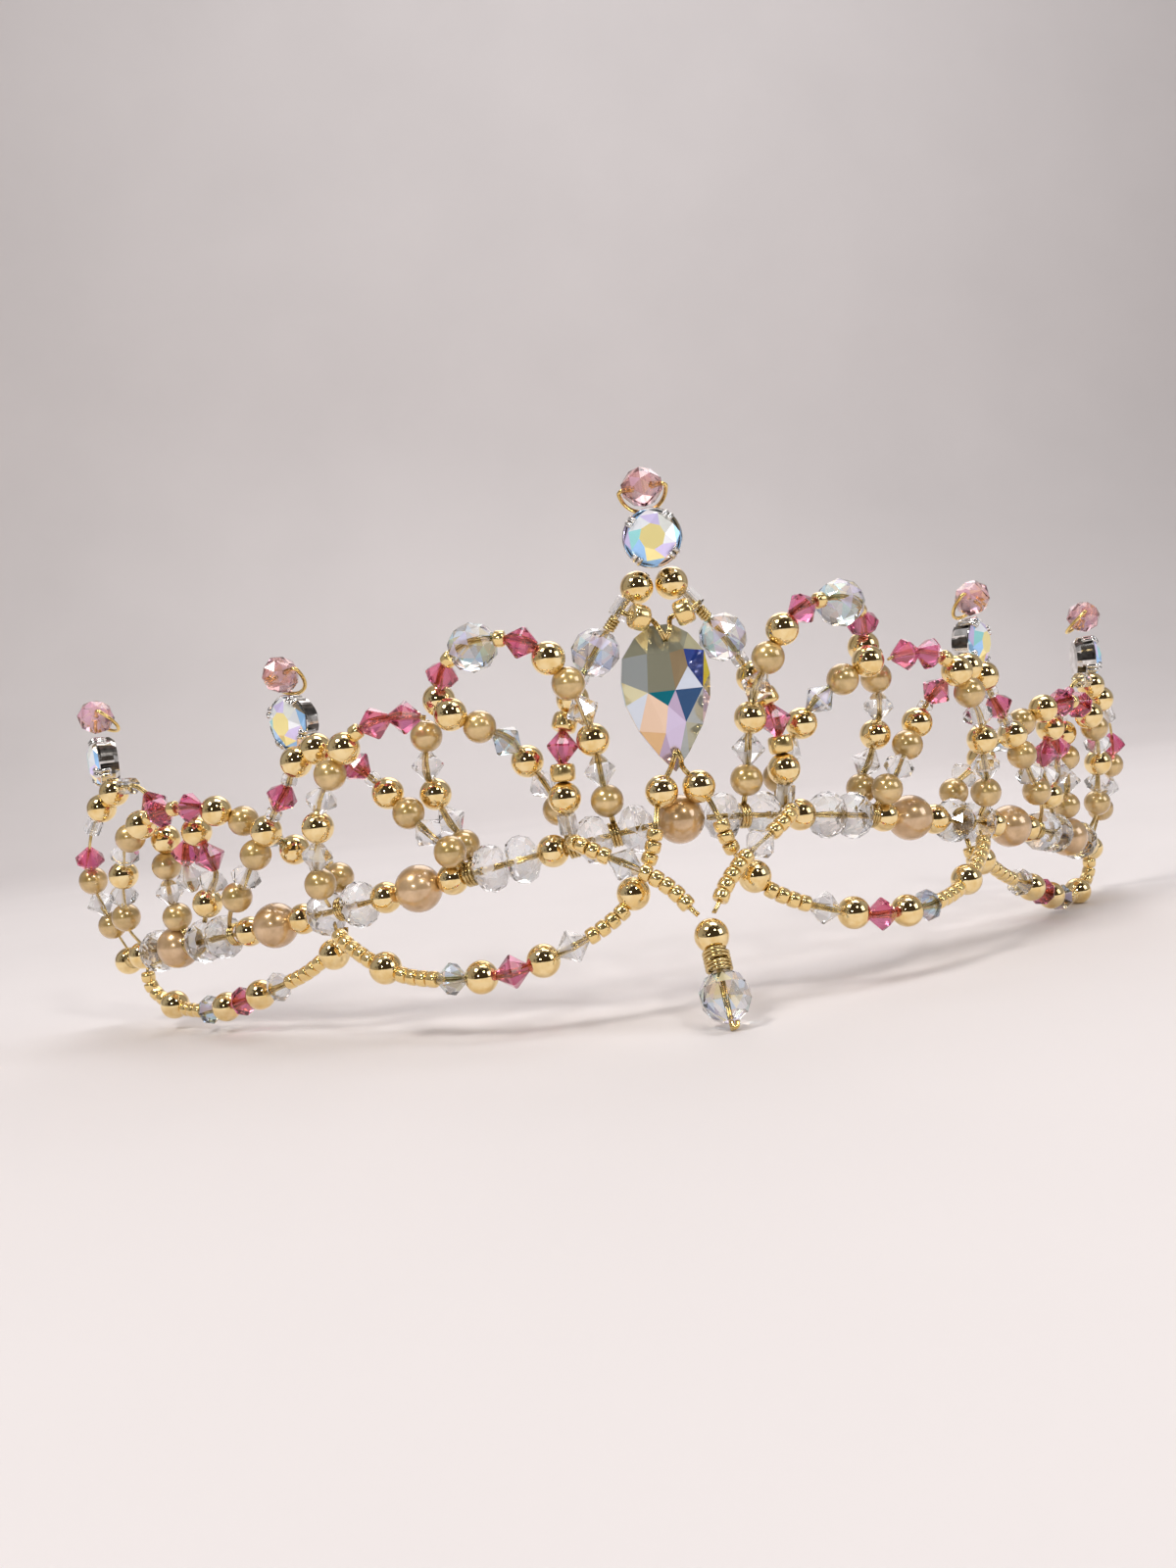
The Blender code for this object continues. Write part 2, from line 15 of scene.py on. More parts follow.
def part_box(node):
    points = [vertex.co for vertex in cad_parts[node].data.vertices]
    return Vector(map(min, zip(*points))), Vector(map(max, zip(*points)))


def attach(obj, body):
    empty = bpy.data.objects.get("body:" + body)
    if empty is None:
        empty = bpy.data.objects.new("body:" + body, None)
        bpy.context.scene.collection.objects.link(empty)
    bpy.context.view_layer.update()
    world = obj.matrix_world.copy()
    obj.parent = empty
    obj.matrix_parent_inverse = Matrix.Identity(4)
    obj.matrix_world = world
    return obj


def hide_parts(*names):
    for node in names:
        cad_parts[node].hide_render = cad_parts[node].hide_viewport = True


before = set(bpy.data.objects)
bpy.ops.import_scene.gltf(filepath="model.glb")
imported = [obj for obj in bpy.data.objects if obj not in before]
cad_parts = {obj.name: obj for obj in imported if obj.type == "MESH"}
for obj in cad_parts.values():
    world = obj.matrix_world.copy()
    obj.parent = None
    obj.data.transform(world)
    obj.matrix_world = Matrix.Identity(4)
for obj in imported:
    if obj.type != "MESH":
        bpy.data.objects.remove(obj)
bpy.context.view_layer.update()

MM = 0.001
REST_TILT = math.radians(16.434)
GAP = 0.3

# Band: its plan bends most at the brow, least above the temples
BROW_RADIUS = 44.5
TEMPLE_RADIUS = 153.0
END_RADIUS = 77.0
TEMPLE_AT = 50.0
END_AT = 88.0
FACE_LEAN = math.radians(20.0)

# Each half of the band sags by its own amount and its end drops by its own amount, as handmade work does
BAND_SAG = {"right": 1.4, "left": 2.6}
END_DROP = {"right": 2.4, "left": 0.0}

# Beads
GOLD_D = 4.0
PEARL_D = 4.0
BICONE_D = 4.0
BIG_PEARL_D = 6.0
ROUND_CRYSTAL_D = 6.0
RONDELLE_D = 6.0
RONDELLE_LEN = 4.1
SEED_D = 2.0
SEED_LEN = 1.45
LARGE_SEED_D = 3.1
LARGE_SEED_LEN = 2.3
TUBE_D = 2.4
TUBE_LEN = 2.4
HOLE_DISH = 0.1
BARE_WIRE_LEN = 1.0
COIL_D = 2.0
COIL_LEN = 1.2
COIL_TURNS = 3

# Round beads: rows and sides of the ball, its hole's rim and floor as shares of its radius, and where the
# floor lies as a share of the way out to the rim
BALL_ROWS = 18
BALL_SIDES = 28
HOLE_RIM = 0.17
HOLE_FLOOR = 0.10
HOLE_FLOOR_AT = 0.85

# Wire and what is made of it
WIRE_D = 0.34
WIRE_SPREAD = 0.16
WIRE_STEP = 0.7
WRAP_D = 3.2
WRAP_WIRE_D = 0.42
LOOP_D = 0.5
HOOK_D = 0.55
TIE_D = 1.5
TIE_SHARE = 0.8
TIE_TURNS = 4
TURN_STEPS = 14

# Set stones, tip beads and centre stone
CUP_D = 7.2
CUP_DEPTH = 2.7
STONE_D = 6.7
STONE_CROWN = 1.3
TIP_BEAD_D = 5.0
STONE_LEN = 17.6
STONE_WIDTH = 10.8
STONE_THICK = 5.2
GIRDLE_THICK = 0.7

# kind: (diameter, length along the string)
BEADS = {
    "gold": (GOLD_D, GOLD_D - 2 * HOLE_DISH),
    "pearl": (PEARL_D, PEARL_D - 2 * HOLE_DISH),
    "big_pearl": (BIG_PEARL_D, BIG_PEARL_D - 2 * HOLE_DISH),
    "crystal": (ROUND_CRYSTAL_D, ROUND_CRYSTAL_D - 2 * HOLE_DISH),
    "rondelle": (RONDELLE_D, RONDELLE_LEN),
    "clear": (BICONE_D, BICONE_D - 2 * HOLE_DISH),
    "rainbow": (BICONE_D, BICONE_D - 2 * HOLE_DISH),
    "pink": (BICONE_D, BICONE_D - 2 * HOLE_DISH),
    "tip": (TIP_BEAD_D, TIP_BEAD_D - 2 * HOLE_DISH),
    "seed": (SEED_D, SEED_LEN),
    "clear_seed": (SEED_D, SEED_LEN),
    "large_seed": (LARGE_SEED_D, LARGE_SEED_LEN),
    "tube": (TUBE_D, TUBE_LEN),
    "coil": (COIL_D, COIL_LEN),
    "wire": (WIRE_D, BARE_WIRE_LEN),
}

# name: (share of spare wire at the start, beads in order, route through chosen places)
STRINGS = {
    "arch": (1.0, "pearl clear gold clear pearl gold pink seed crystal seed pink gold", [
        (8.0, 1.4, 0.3), (8.4, 5.0, 0.8), (8.6, 11.0, 1.5), (9.0, 14.7, 2.2), (9.9, 18.4, 3.7),
        (11.2, 21.9, 4.2), (13.4, 24.9, 4.3), (18.5, 26.5, 4.0), (22.2, 25.2, 2.6), (24.0, 23.2, 1.0),
        (25.6, 19.9, -1.2)]),
    "crown": (0.4, "gold tube wire*2 crystal clear_seed gold large_seed pink large_seed gold tube", [
        (0.55, 29.6, -0.9), (2.1, 28.1, -0.5), (6.7, 22.2, -0.9), (9.8, 17.9, -1.5), (11.5, 14.7, -0.5),
        (12.4, 11.7, 0.5), (12.6, 9.0, 0.9), (13.0, 6.3, 1.1), (13.3, 2.9, 0.9), (13.3, 1.3, 0.6)]),
    "bridge": (0.3, "pink pink seed gold pearl clear gold clear pearl", [
        (25.6, 19.7, 3.5), (28.2, 20.8, 4.0), (31.5, 21.0, 4.5), (34.2, 20.2, 4.9), (36.2, 18.4, 5.1),
        (38.4, 16.1, 4.9), (40.8, 13.7, 4.4), (42.4, 10.5, 3.8), (44.1, 7.2, 3.4), (45.1, 4.0, 3.4),
        (45.3, 0.9, 2.2)]),
    "brace_inner": (0.1, "gold pearl rainbow gold clear pearl", [
        (24.2, 20.6, 4.0), (22.8, 19.0, 3.0), (20.5, 16.8, 1.7), (18.0, 14.5, 0.3), (16.7, 11.0, -1.3),
        (15.5, 7.8, -2.9), (14.6, 4.4, -3.6), (13.6, 1.1, -1.8)]),
    "brace_middle": (0.0, "pearl clear gold clear pearl", [
        (27.2, 19.4, -0.9), (27.8, 17.5, -1.1), (29.2, 14.0, -1.8), (29.2, 10.4, -2.3), (28.5, 6.8, -2.7),
        (27.4, 3.8, -3.2), (26.6, 1.2, -1.3)]),
    "peak": (0.15, "pearl clear pearl gold clear_seed pink wire*2 gold gold "
             "clear_seed pink clear_seed gold pearl clear pearl", [
        (26.5, 1.3, 1.0), (27.3, 3.6, 2.4), (29.8, 6.6, 1.6), (31.9, 9.4, 0.6), (34.0, 12.4, 0.1),
        (36.2, 15.6, 0.0), (38.7, 19.8, 1.9), (40.9, 20.9, 2.8), (43.4, 19.6, 2.8), (45.0, 17.2, 2.8),
        (47.2, 15.2, 2.9), (51.1, 11.6, 3.0), (54.0, 8.9, 3.0), (57.4, 6.2, 2.6), (61.2, 3.4, 2.1),
        (63.9, 1.2, 0.8)]),
    "side_arch": (0.3, "pearl clear gold rainbow pearl gold pink seed pink seed "
                  "gold pearl clear gold clear pearl", [
        (45.3, 1.4, -1.4), (46.2, 4.0, -3.6), (49.6, 6.8, -3.2), (51.8, 9.0, -2.5),
        (53.4, 11.6, -1.2), (54.6, 14.2, 1.0), (56.2, 16.4, 2.9), (58.9, 17.9, 4.1),
        (63.4, 18.6, 4.5), (68.0, 18.2, 4.1), (71.0, 17.3, 3.8), (74.5, 15.7, 3.5),
        (77.2, 13.2, 3.0), (79.8, 10.6, 2.5), (82.3, 7.8, 2.1), (84.2, 4.6, 1.8),
        (84.4, 1.3, 0.6)]),
    "diamond_inner": (0.0, "gold pink clear gold", [
        (62.8, 16.6, 1.9), (62.7, 15.2, 1.7), (62.3, 11.6, 1.2), (62.6, 8.6, 1.0), (65.4, 6.2, 0.8),
        (68.7, 2.6, 0.4)]),
    "diamond_outer": (0.5, "pink clear", [
        (65.4, 14.0, 1.2), (67.1, 12.0, 0.8), (68.3, 8.8, 0.7), (68.2, 7.0, 0.6)]),
    "end_peak": (0.3, "pearl clear pearl gold clear_seed pink wire*2 tube gold gold "
                 "tube wire*3 pink pearl clear pearl", [
        (73.3, 1.3, 0.5), (74.0, 3.8, 0.4), (74.2, 7.2, 0.0), (73.0, 10.1, 0.1),
        (71.4, 13.3, 0.1), (70.1, 17.0, -0.4), (70.0, 20.2, 0.0), (71.6, 23.2, 1.0),
        (75.8, 23.4, 1.5), (79.6, 21.0, 2.2), (82.6, 18.3, 2.8), (86.0, 14.6, 2.6),
        (88.6, 10.6, 1.9), (89.9, 6.2, 1.1), (89.6, 1.2, 0.4)]),
    "swag": (0.1, "wire gold wire*3 seed*3 wire*2 gold seed*4 clear gold pink gold rainbow "
             "seed*4 gold seed*5", [
        (0.7, 6.3, 1.1), (2.3, 4.0, 1.8), (3.5, 0.4, 4.2), (4.3, -2.5, 4.3), (5.7, -4.9, 4.0),
        (7.6, -7.7, 5.0), (11.6, -9.8, 6.0), (16.0, -10.9, 6.8), (19.6, -11.5, 7.6),
        (23.4, -11.4, 8.2), (27.2, -10.8, 8.2), (30.8, -10.2, 7.6), (35.2, -8.9, 6.8),
        (39.0, -6.7, 6.0), (42.2, -4.4, 4.8), (44.2, -2.6, 3.8), (45.2, -1.2, 2.5)]),
    "drape": (0.3, "seed*4 clear seed*5", [
        (13.2, 1.0, 2.4), (11.9, 0.4, 4.4), (9.4, -1.5, 5.3), (6.9, -3.2, 6.0), (4.6, -5.0, 7.0),
        (2.6, -7.2, 8.0), (1.6, -8.9, 8.8), (0.8, -10.0, 9.3)]),
    "end_swag": (0.7, "seed gold seed*5 clear gold pink gold rainbow seed*3 gold seed*4", [
        (45.3, -2.3, 0.4), (45.9, -5.0, 1.4), (48.8, -5.4, 1.6), (52.8, -6.8, 1.6), (60.0, -8.1, 1.4),
        (66.6, -9.0, 1.2), (70.6, -9.4, 1.0), (74.7, -9.4, 0.9), (78.6, -8.9, 0.9), (82.4, -7.6, 1.0),
        (85.2, -5.4, 1.2), (85.2, -3.6, 1.4), (84.6, -1.9, 1.2)]),
    "hanger": (0.3, "large_seed", [
        (1.0, 24.2, 1.0), (2.5, 24.7, 2.0), (4.0, 25.8, 1.6)]),
}
BAND_BEADS = (
    "rondelle coil rondelle coil gold rondelle rondelle coil gold big_pearl gold rondelle coil "
    "rondelle gold big_pearl gold coil rondelle rondelle coil big_pearl rondelle coil gold coil gold")
BAND_START = BIG_PEARL_D / 2 + GAP
PENDANT_BEADS = "gold coil coil crystal wire"
PENDANT_ROUTE = [(0.0, -10.6, 10.0), (0.0, -21.6, 17.1)]

# name: (along, up, out, turn from straight ahead and tilt up in degrees, tip bead's shift along, and how
# much further along and up the handmade left one sits than the middle of the pair)
SET_STONES = {
    "centre": (0.0, 33.6, 1.0, -12.0, -18.0, -0.4, 0.0, 0.0),
    "post": (44.7, 24.4, 0.0, 46.0, -16.0, -0.2, -0.4, 0.1),
    "end_post": (78.4, 28.1, 0.0, 74.0, -6.0, -1.6, 0.0, 0.0),
}
TIP_HEIGHT = 6.1
TIP_BEHIND = 1.2
TIP_LOOP_LEAN = math.radians(58.0)
TIP_LOOP_GAP = 0.4
TIP_LOOP_DROP = TIP_BEAD_D / 2 + 0.6
TIP_LOOP_START = 0.3

# Number of a set stone's facets, then the places on the coated ramp of the facets around its flat table,
# each for two facets in turn, and of the table
SET_STONE_FACETS = 33
FACET_STEPS = (
    0.95, 0.05, 0.20, 0.35, 0.20, 0.20, 0.55, 0.20, 0.80, 0.35, 0.05, 0.65, 0.20, 0.45, 0.35, 0.05)
TABLE_STEP = {"centre": 0.45, "post": 0.45, "end_post": 0.65}
TABLE_SHARE = 0.46

# Cups and claws
CUP_FOOT = 0.2
CUP_LIP = 0.12
CUP_SIDES = 64
RIB_SIDES = 8
SLOT_DEPTH = 0.86
CLAW_COUNT = 4
CLAW_WIRE_D = 0.7
CLAW_HALF_WIDTH = 0.35

# Half outline of the centre stone from its tip: (share of half width, share of length)
STONE_OUTLINE = [
    (0.0, 0.0), (0.34, 0.12), (0.72, 0.30), (0.95, 0.48),
    (1.0, 0.64), (0.92, 0.80), (0.60, 0.93), (0.24, 1.0),
]
STONE_TIP = (5.8, 0.4)
STONE_TOP = (23.3, -0.2)
STONE_SHOULDER = 0.45 * STONE_WIDTH
# Corners inside the stone's front, as name: (share of half width, share of length). Its edge is l1 to l7
# down the left, r1 to r7 down the right and the tip
STONE_POINTS = {
    "a": (-0.42, 0.81), "b": (0.40, 0.82), "c": (0.06, 0.80), "d": (-0.50, 0.55), "e": (0.10, 0.55),
    "f": (0.76, 0.55), "g": (0.44, 0.70), "h": (0.28, 0.33), "i": (-0.20, 0.27), "j": (-0.10, 0.45),
}
# front facets: (corners in order, colour they throw)
STONE_FACETS = [
    ("l1 r1 b c a", "moss"), ("l2 l1 a", "straw"), ("l3 l2 a", "moss"), ("l4 l3 a d", "slate"),
    ("a c e d", "moss"), ("l5 l4 d", "straw"), ("l6 l5 d", "ice"), ("d e j", "teal"),
    ("e f h", "navy"), ("e h j", "mauve"), ("j h i", "lilac"), ("l6 d j i", "peach"),
    ("l7 l6 i", "amber"), ("tip l7 i", "mauve"), ("tip i h", "lilac"), ("tip h r7", "slate"),
    ("h r6 r7", "moss"), ("h f r6", "slate"), ("f r5 r6", "lilac"), ("f r4 r5", "moss"),
    ("r3 r4 f", "yellow"), ("b r3 f g", "blue"), ("r2 r3 b", "straw"), ("r1 r2 b", "moss"),
    ("c b g e", "tan"), ("e g f", "ice"),
]
# Wire that runs on from a string's start into the centre stone's holes
WIRE_LEADS = {
    "swag": [(0.0, 8.6, 1.9), (0.35, 7.6, 2.3)],
    "hanger": [(0.0, 21.4, 2.4), (0.45, 22.6, 2.9)],
}
# Turned end of the drop's wire: (back along the wire, aside)
HOOK_BEND = [(1.6, 0.0), (0.7, 0.0), (0.34, 0.2), (0.45, 0.55), (1.0, 0.7)]
DROP_WIRE_SPREAD = 0.12
BAND_STOPS = 24

# Floor and backdrop, in metres
FLOOR_FRONT = -1.2
FLOOR_BACK = 0.55
SWEEP_RADIUS = 0.35
SWEEP_STEPS = 12
BACKDROP_TOP = 1.6
HALF_WIDTH = 1.6
FLOOR_COLOUR = (0.84, 0.79, 0.78)

# Soft lights, in metres: name: (place, target, size, power, colour)
TIARA = (0.0, 0.0, 0.03)
LIGHTS = {
    "key": ((-0.45, -0.30, 0.75), TIARA, 0.22, 2.9, (1.0, 0.97, 0.93)),
    "fill": ((0.70, -0.45, 0.35), TIARA, 0.40, 1.25, (0.93, 0.95, 1.0)),
    "sparkle": ((0.16, -0.48, 0.44), TIARA, 0.06, 0.65, (1.0, 0.98, 0.95)),
    "glint": ((-0.25, -0.50, 0.20), TIARA, 0.04, 0.32, (0.92, 0.96, 1.0)),
    "back": ((0.15, 0.55, 0.60), TIARA, 0.50, 1.1, (1.0, 0.97, 0.97)),
    "wash": ((0.25, 0.05, 1.10), (0.15, 0.90, 0.35), 0.60, 5.0, (0.96, 0.97, 1.0)),
}
WORLD_STRENGTH = 0.42
# Way to the dark side, how strongly noise breaks its edge, and shades from the pale side to the dark one
DARK_SIDE = (0.05, -0.96, 0.20)
EDGE_NOISE = 1.5
WORLD_SHADES = [(0.0, (0.92, 0.88, 0.89)), (0.56, (0.86, 0.82, 0.82)), (0.65, (0.11, 0.085, 0.065))]

# Camera in the level band's frame: place in millimetres, then its right, up and backward directions
CAMERA_AT = (-30.387, -147.650, -34.365)
CAMERA_RIGHT = (0.98437625, -0.09267949, -0.14971277)
CAMERA_UP = (0.11916932, -0.27526648, 0.95395337)
CAMERA_BACK = (-0.12962282, -0.95689021, -0.25992123)
CAMERA_LENS = 29.36
CAMERA_SENSOR = 36.0
CAMERA_CLIP = 0.001

DICE = random.Random(7)
LOW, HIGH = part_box("middle_pearl")
MIDDLE = (Vector(LOW) + Vector(HIGH)) / 2 / MM


def curvature(along):
    """Bend of the band in plan, a parabola through its brow, temple and end values."""
    brow, temple, end = 1 / BROW_RADIUS, 1 / TEMPLE_RADIUS, 1 / END_RADIUS
    near = brow * (along - TEMPLE_AT) * (along - END_AT) / (TEMPLE_AT * END_AT)
    middle = temple * along * (along - END_AT) / (TEMPLE_AT * (TEMPLE_AT - END_AT))
    far = end * along * (along - TEMPLE_AT) / (END_AT * (END_AT - TEMPLE_AT))
    return near + middle + far


def band_plan(step=0.5, reach=110.0):
    """Places and headings along the band's plan curve."""
    x, y, heading, along = 0.0, 0.0, 0.0, 0.0
    rows = [(x, y, heading)]
    while along < reach:
        turned = heading + curvature(along + step / 2) * step
        x += math.cos((heading + turned) / 2) * step
        y += math.sin((heading + turned) / 2) * step
        heading = turned
        along += step
        rows.append((x, y, heading))
    return rows, step


PLAN, PLAN_STEP = band_plan()


def plan_at(along):
    """Plan position and heading at a distance along the band."""
    share = max(0.0, min(along / PLAN_STEP, len(PLAN) - 1.001))
    low = int(share)
    mix = share - low
    return [a + (b - a) * mix for a, b in zip(PLAN[low], PLAN[low + 1])]


def place(point, side):
    """Turn (along, up, out) into x, y, z with the band flat."""
    along, up, out = point
    x, y, heading = plan_at(along)
    forward = up * math.sin(FACE_LEAN) + out * math.cos(FACE_LEAN)
    rise = up * math.cos(FACE_LEAN) - out * math.sin(FACE_LEAN)
    share = min(along / END_AT, 1.0)
    rise -= BAND_SAG[side] * math.sin(math.pi * share) + END_DROP[side] * share ** 3
    x += math.sin(heading) * forward
    y -= math.cos(heading) * forward
    return Vector((x if side == "right" else -x, y, rise))


def smooth_path(points, steps=12):
    """Points along a smooth curve through the given ones, its knots spaced by chord length."""
    knots = [0.0]
    for a, b in zip(points, points[1:]):
        knots.append(knots[-1] + max((b - a).length, 1e-6))
    path = []
    for i in range(len(points) - 1):
        p1, p2 = points[i], points[i + 1]
        span = knots[i + 1] - knots[i]
        slope1 = (p2 - p1) / span
        slope2 = slope1
        if i > 0:
            slope1 = (p2 - points[i - 1]) / (knots[i + 1] - knots[i - 1])
        if i + 2 < len(points):
            slope2 = (points[i + 2] - p1) / (knots[i + 2] - knots[i])
        for k in range(steps):
            t = k / steps
            path.append(p1 * (2 * t**3 - 3 * t**2 + 1) + p2 * (3 * t**2 - 2 * t**3)
                        + slope1 * span * (t**3 - 2 * t**2 + t) + slope2 * span * (t**3 - t**2))
    path.append(points[-1])
    return path


class Path:
    """A curve read by its length."""

    def __init__(self, points):
        self.points = points
        self.stations = [0.0]
        for a, b in zip(points, points[1:]):
            self.stations.append(self.stations[-1] + (b - a).length)
        self.length = self.stations[-1]

    def at(self, distance):
        """Point at a distance, straight on past either end."""
        last = len(self.points) - 2
        i = 0
        while i < last and self.stations[i + 1] < distance:
            i += 1
        span = self.stations[i + 1] - self.stations[i]
        return self.points[i].lerp(self.points[i + 1], (distance - self.stations[i]) / span)


def bead_list(text):
    """Bead kinds in order, with a run such as seed*3 written out as (kind, count)."""
    beads = []
    for word in text.split():
        kind, _, count = word.partition("*")
        beads.append((kind, int(count or 1)))
    return beads


def string_places(text, path, lead):
    """Each bead's (kind, count, entry, exit) along a path, after a share of the spare wire."""
    beads = bead_list(text)
    total = sum(BEADS[kind][1] * count for kind, count in beads)
    distance = max(path.length - total, 0.0) * lead
    places = []
    for kind, count in beads:
        step = BEADS[kind][1] * count
        places.append((kind, count, distance, distance + step))
        distance += step
    return places


# Colours met on the coated facets, as (place on the ramp, colour): partly the coating's own tints and
# partly painted reflection
COATED = [
    (0.0, (0.88, 0.91, 0.96)),
    (0.14, (0.34, 0.60, 0.96)),
    (0.28, (0.70, 0.62, 0.94)),
    (0.40, (1.00, 0.86, 0.38)),
    (0.50, (0.95, 0.68, 0.52)),
    (0.60, (0.38, 0.82, 0.84)),
    (0.72, (0.92, 0.94, 0.90)),
    (0.90, (0.30, 0.24, 0.16)),
]
# name: colour thrown by a facet of the centre stone, partly its coating's own tint and partly painted
# reflection
KITE = {
    "moss": (0.50, 0.50, 0.37),
    "straw": (0.82, 0.78, 0.50),
    "slate": (0.46, 0.50, 0.50),
    "ice": (0.74, 0.82, 0.95),
    "teal": (0.02, 0.34, 0.46),
    "navy": (0.005, 0.07, 0.21),
    "mauve": (0.58, 0.46, 0.66),
    "lilac": (0.74, 0.64, 0.88),
    "peach": (0.93, 0.68, 0.50),
    "amber": (0.86, 0.56, 0.28),
    "yellow": (1.0, 0.82, 0.06),
    "blue": (0.03, 0.08, 0.42),
    "tan": (0.64, 0.48, 0.28),
}
KITE_STOPS = [(i / len(KITE), colour) for i, colour in enumerate(KITE.values())]
KITE_STEPS = {name: (i + 0.5) / len(KITE) for i, name in enumerate(KITE)}
# Share of clear glass from facet to facet, as (place on the ramp, share); a facet left less clear shows
# as a painted highlight
CLEAR_SHARE = [(0.0, 1.0), (0.30, 0.55), (0.42, 1.0), (0.80, 0.75)]
# Unevenness of a surface: (scale of its noise, depth in metres, strength)
METAL_GRAIN = (1100.0, 0.00006, 0.3)
SEED_GRAIN = (1000.0, 0.00006, 0.3)
PEARL_GRAIN = (1300.0, 0.00005, 0.35)
FOIL_GRAIN = (500.0, 0.00002, 0.15)
TARNISH_SCALE = 900.0
PEARL_MOTTLE_SCALE = 520.0
FLOOR_MOTTLE_SCALE = 9.0


def new_look(name, colour, roughness, **sockets):
    """A Principled material with its plain values set on its own sockets."""
    made = bpy.data.materials.new(name)
    made.use_nodes = True
    shader = made.node_tree.nodes["Principled BSDF"]
    shader.inputs["Base Color"].default_value = (*colour, 1.0)
    shader.inputs["Roughness"].default_value = roughness
    for socket, value in sockets.items():
        shader.inputs[socket.replace("_", " ")].default_value = value
    return made


def node(look, kind, **values):
    """A new node in a material, with its input values."""
    made = look.node_tree.nodes.new(kind)
    for socket, value in values.items():
        made.inputs[socket.replace("_", " ")].default_value = value
    return made


def link(look, source, target):
    """Join two sockets."""
    look.node_tree.links.new(source, target)


def shader_of(look):
    """The material's Principled node."""
    return look.node_tree.nodes["Principled BSDF"]


def ramp(look, source, stops, constant=False):
    """Colour ramp over a value."""
    made = look.node_tree.nodes.new("ShaderNodeValToRGB")
    made.color_ramp.interpolation = "CONSTANT" if constant else "LINEAR"
    elements = made.color_ramp.elements
    elements.remove(elements[1])
    elements[0].position = stops[0][0]
    elements[0].color = (*stops[0][1], 1.0)
    for position, colour in stops[1:]:
        elements.new(position).color = (*colour, 1.0)
    link(look, source, made.inputs["Fac"])
    return made.outputs["Color"]


def noise(look, scale, detail=3.0):
    """Noise through the solid, in metres of the object."""
    place_node = node(look, "ShaderNodeTexCoord")
    made = node(look, "ShaderNodeTexNoise", Scale=scale, Detail=detail)
    link(look, place_node.outputs["Object"], made.inputs["Vector"])
    return made.outputs["Fac"]


def grain(look, unevenness):
    """Fine unevenness of a surface."""
    scale, depth, strength = unevenness
    bump = node(look, "ShaderNodeBump", Strength=strength, Distance=depth)
    link(look, noise(look, scale), bump.inputs["Height"])
    link(look, bump.outputs["Normal"], shader_of(look).inputs["Normal"])


def flash(look):
    """Each facet's own number."""
    made = look.node_tree.nodes.new("ShaderNodeAttribute")
    made.attribute_name = "flash"
    return made.outputs["Fac"]


def coloured_by_facet(look, stops):
    """A colour for each facet from its own number."""
    link(look, ramp(look, flash(look), stops, True), shader_of(look).inputs["Base Color"])


def metal_look(name, dark, bright, roughness):
    """Plated metal with slight tarnish and fine waves."""
    look = new_look(name, bright, roughness, Metallic=1.0)
    tarnish = ramp(look, noise(look, TARNISH_SCALE), [(0.3, dark), (0.62, bright)])
    link(look, tarnish, shader_of(look).inputs["Base Color"])
    grain(look, METAL_GRAIN)
    return look


def pearl_look(name, shade, body, edge_shade):
    """Lustrous coated pearl: a mottled body colour under a clear coat, with painted shade that darkens it
    where it turns away from the view.
    """
    look = new_look(name, body, 0.30, Metallic=0.55, Coat_Weight=1.0, Coat_Roughness=0.07, Coat_IOR=1.95)
    # Painted shade: towards the edge, as the surface turns from the view, the body colour gives way to
    # the darker edge colour
    facing_node = node(look, "ShaderNodeLayerWeight", Blend=0.4)
    mix = look.node_tree.nodes.new("ShaderNodeMix")
    mix.data_type = "RGBA"
    link(look, facing_node.outputs["Facing"], mix.inputs["Factor"])
    mottle = ramp(look, noise(look, PEARL_MOTTLE_SCALE), [(0.35, shade), (0.65, body)])
    link(look, mottle, mix.inputs["A"])
    mix.inputs["B"].default_value = (*edge_shade, 1.0)
    link(look, mix.outputs["Result"], shader_of(look).inputs["Base Color"])
    grain(look, PEARL_GRAIN)
    return look


def glass_look(name, colour, index, stops, shares):
    """Cut glass, tinted facet by facet, with some of its facets made partly opaque so that their tint
    shows as a painted highlight.
    """
    look = new_look(name, colour, 0.02, IOR=index, Coat_Weight=0.8, Coat_IOR=1.6, Coat_Roughness=0.02)
    coloured_by_facet(look, stops)
    greys = [(at, (share, share, share)) for at, share in shares]
    # Facets given less transmission show their tint as a painted highlight
    link(look, ramp(look, flash(look), greys, True), shader_of(look).inputs["Transmission Weight"])
    return look


def foiled_look(name, stops, metallic, painted_glow):
    """Foil-backed coated stone: each facet throws its own colour, partly the coating's tint and partly
    painted reflection, and a share of that colour is painted on as a glow that stands for light from
    inside.
    """
    look = new_look(name, (0.8, 0.8, 0.8), 0.05, Metallic=metallic, Coat_Weight=0.6, Coat_IOR=1.5,
                    Emission_Strength=painted_glow)
    coloured_by_facet(look, stops)
    thrown = shader_of(look).inputs["Base Color"].links[0].from_socket
    # Painted glow: the facet colour feeds the emission, so the stone shines though it is no lamp
    link(look, thrown, shader_of(look).inputs["Emission Color"])
    grain(look, FOIL_GRAIN)
    return look


def lined_look(name, colour):
    """Glass seed lined with gilt, which reads as a bright coated metal."""
    look = new_look(name, colour, 0.16, Metallic=0.9, Coat_Weight=1.0, Coat_Roughness=0.03)
    grain(look, SEED_GRAIN)
    return look


def tinted(stops, colour, share):
    """The stops drawn towards one colour."""
    return [(at, tuple(a + (b - a) * share for a, b in zip(shade, colour))) for at, shade in stops]


WHITE = (1.0, 1.0, 1.0)
PINK = (0.84, 0.08, 0.27)
ROSE = (0.96, 0.42, 0.46)
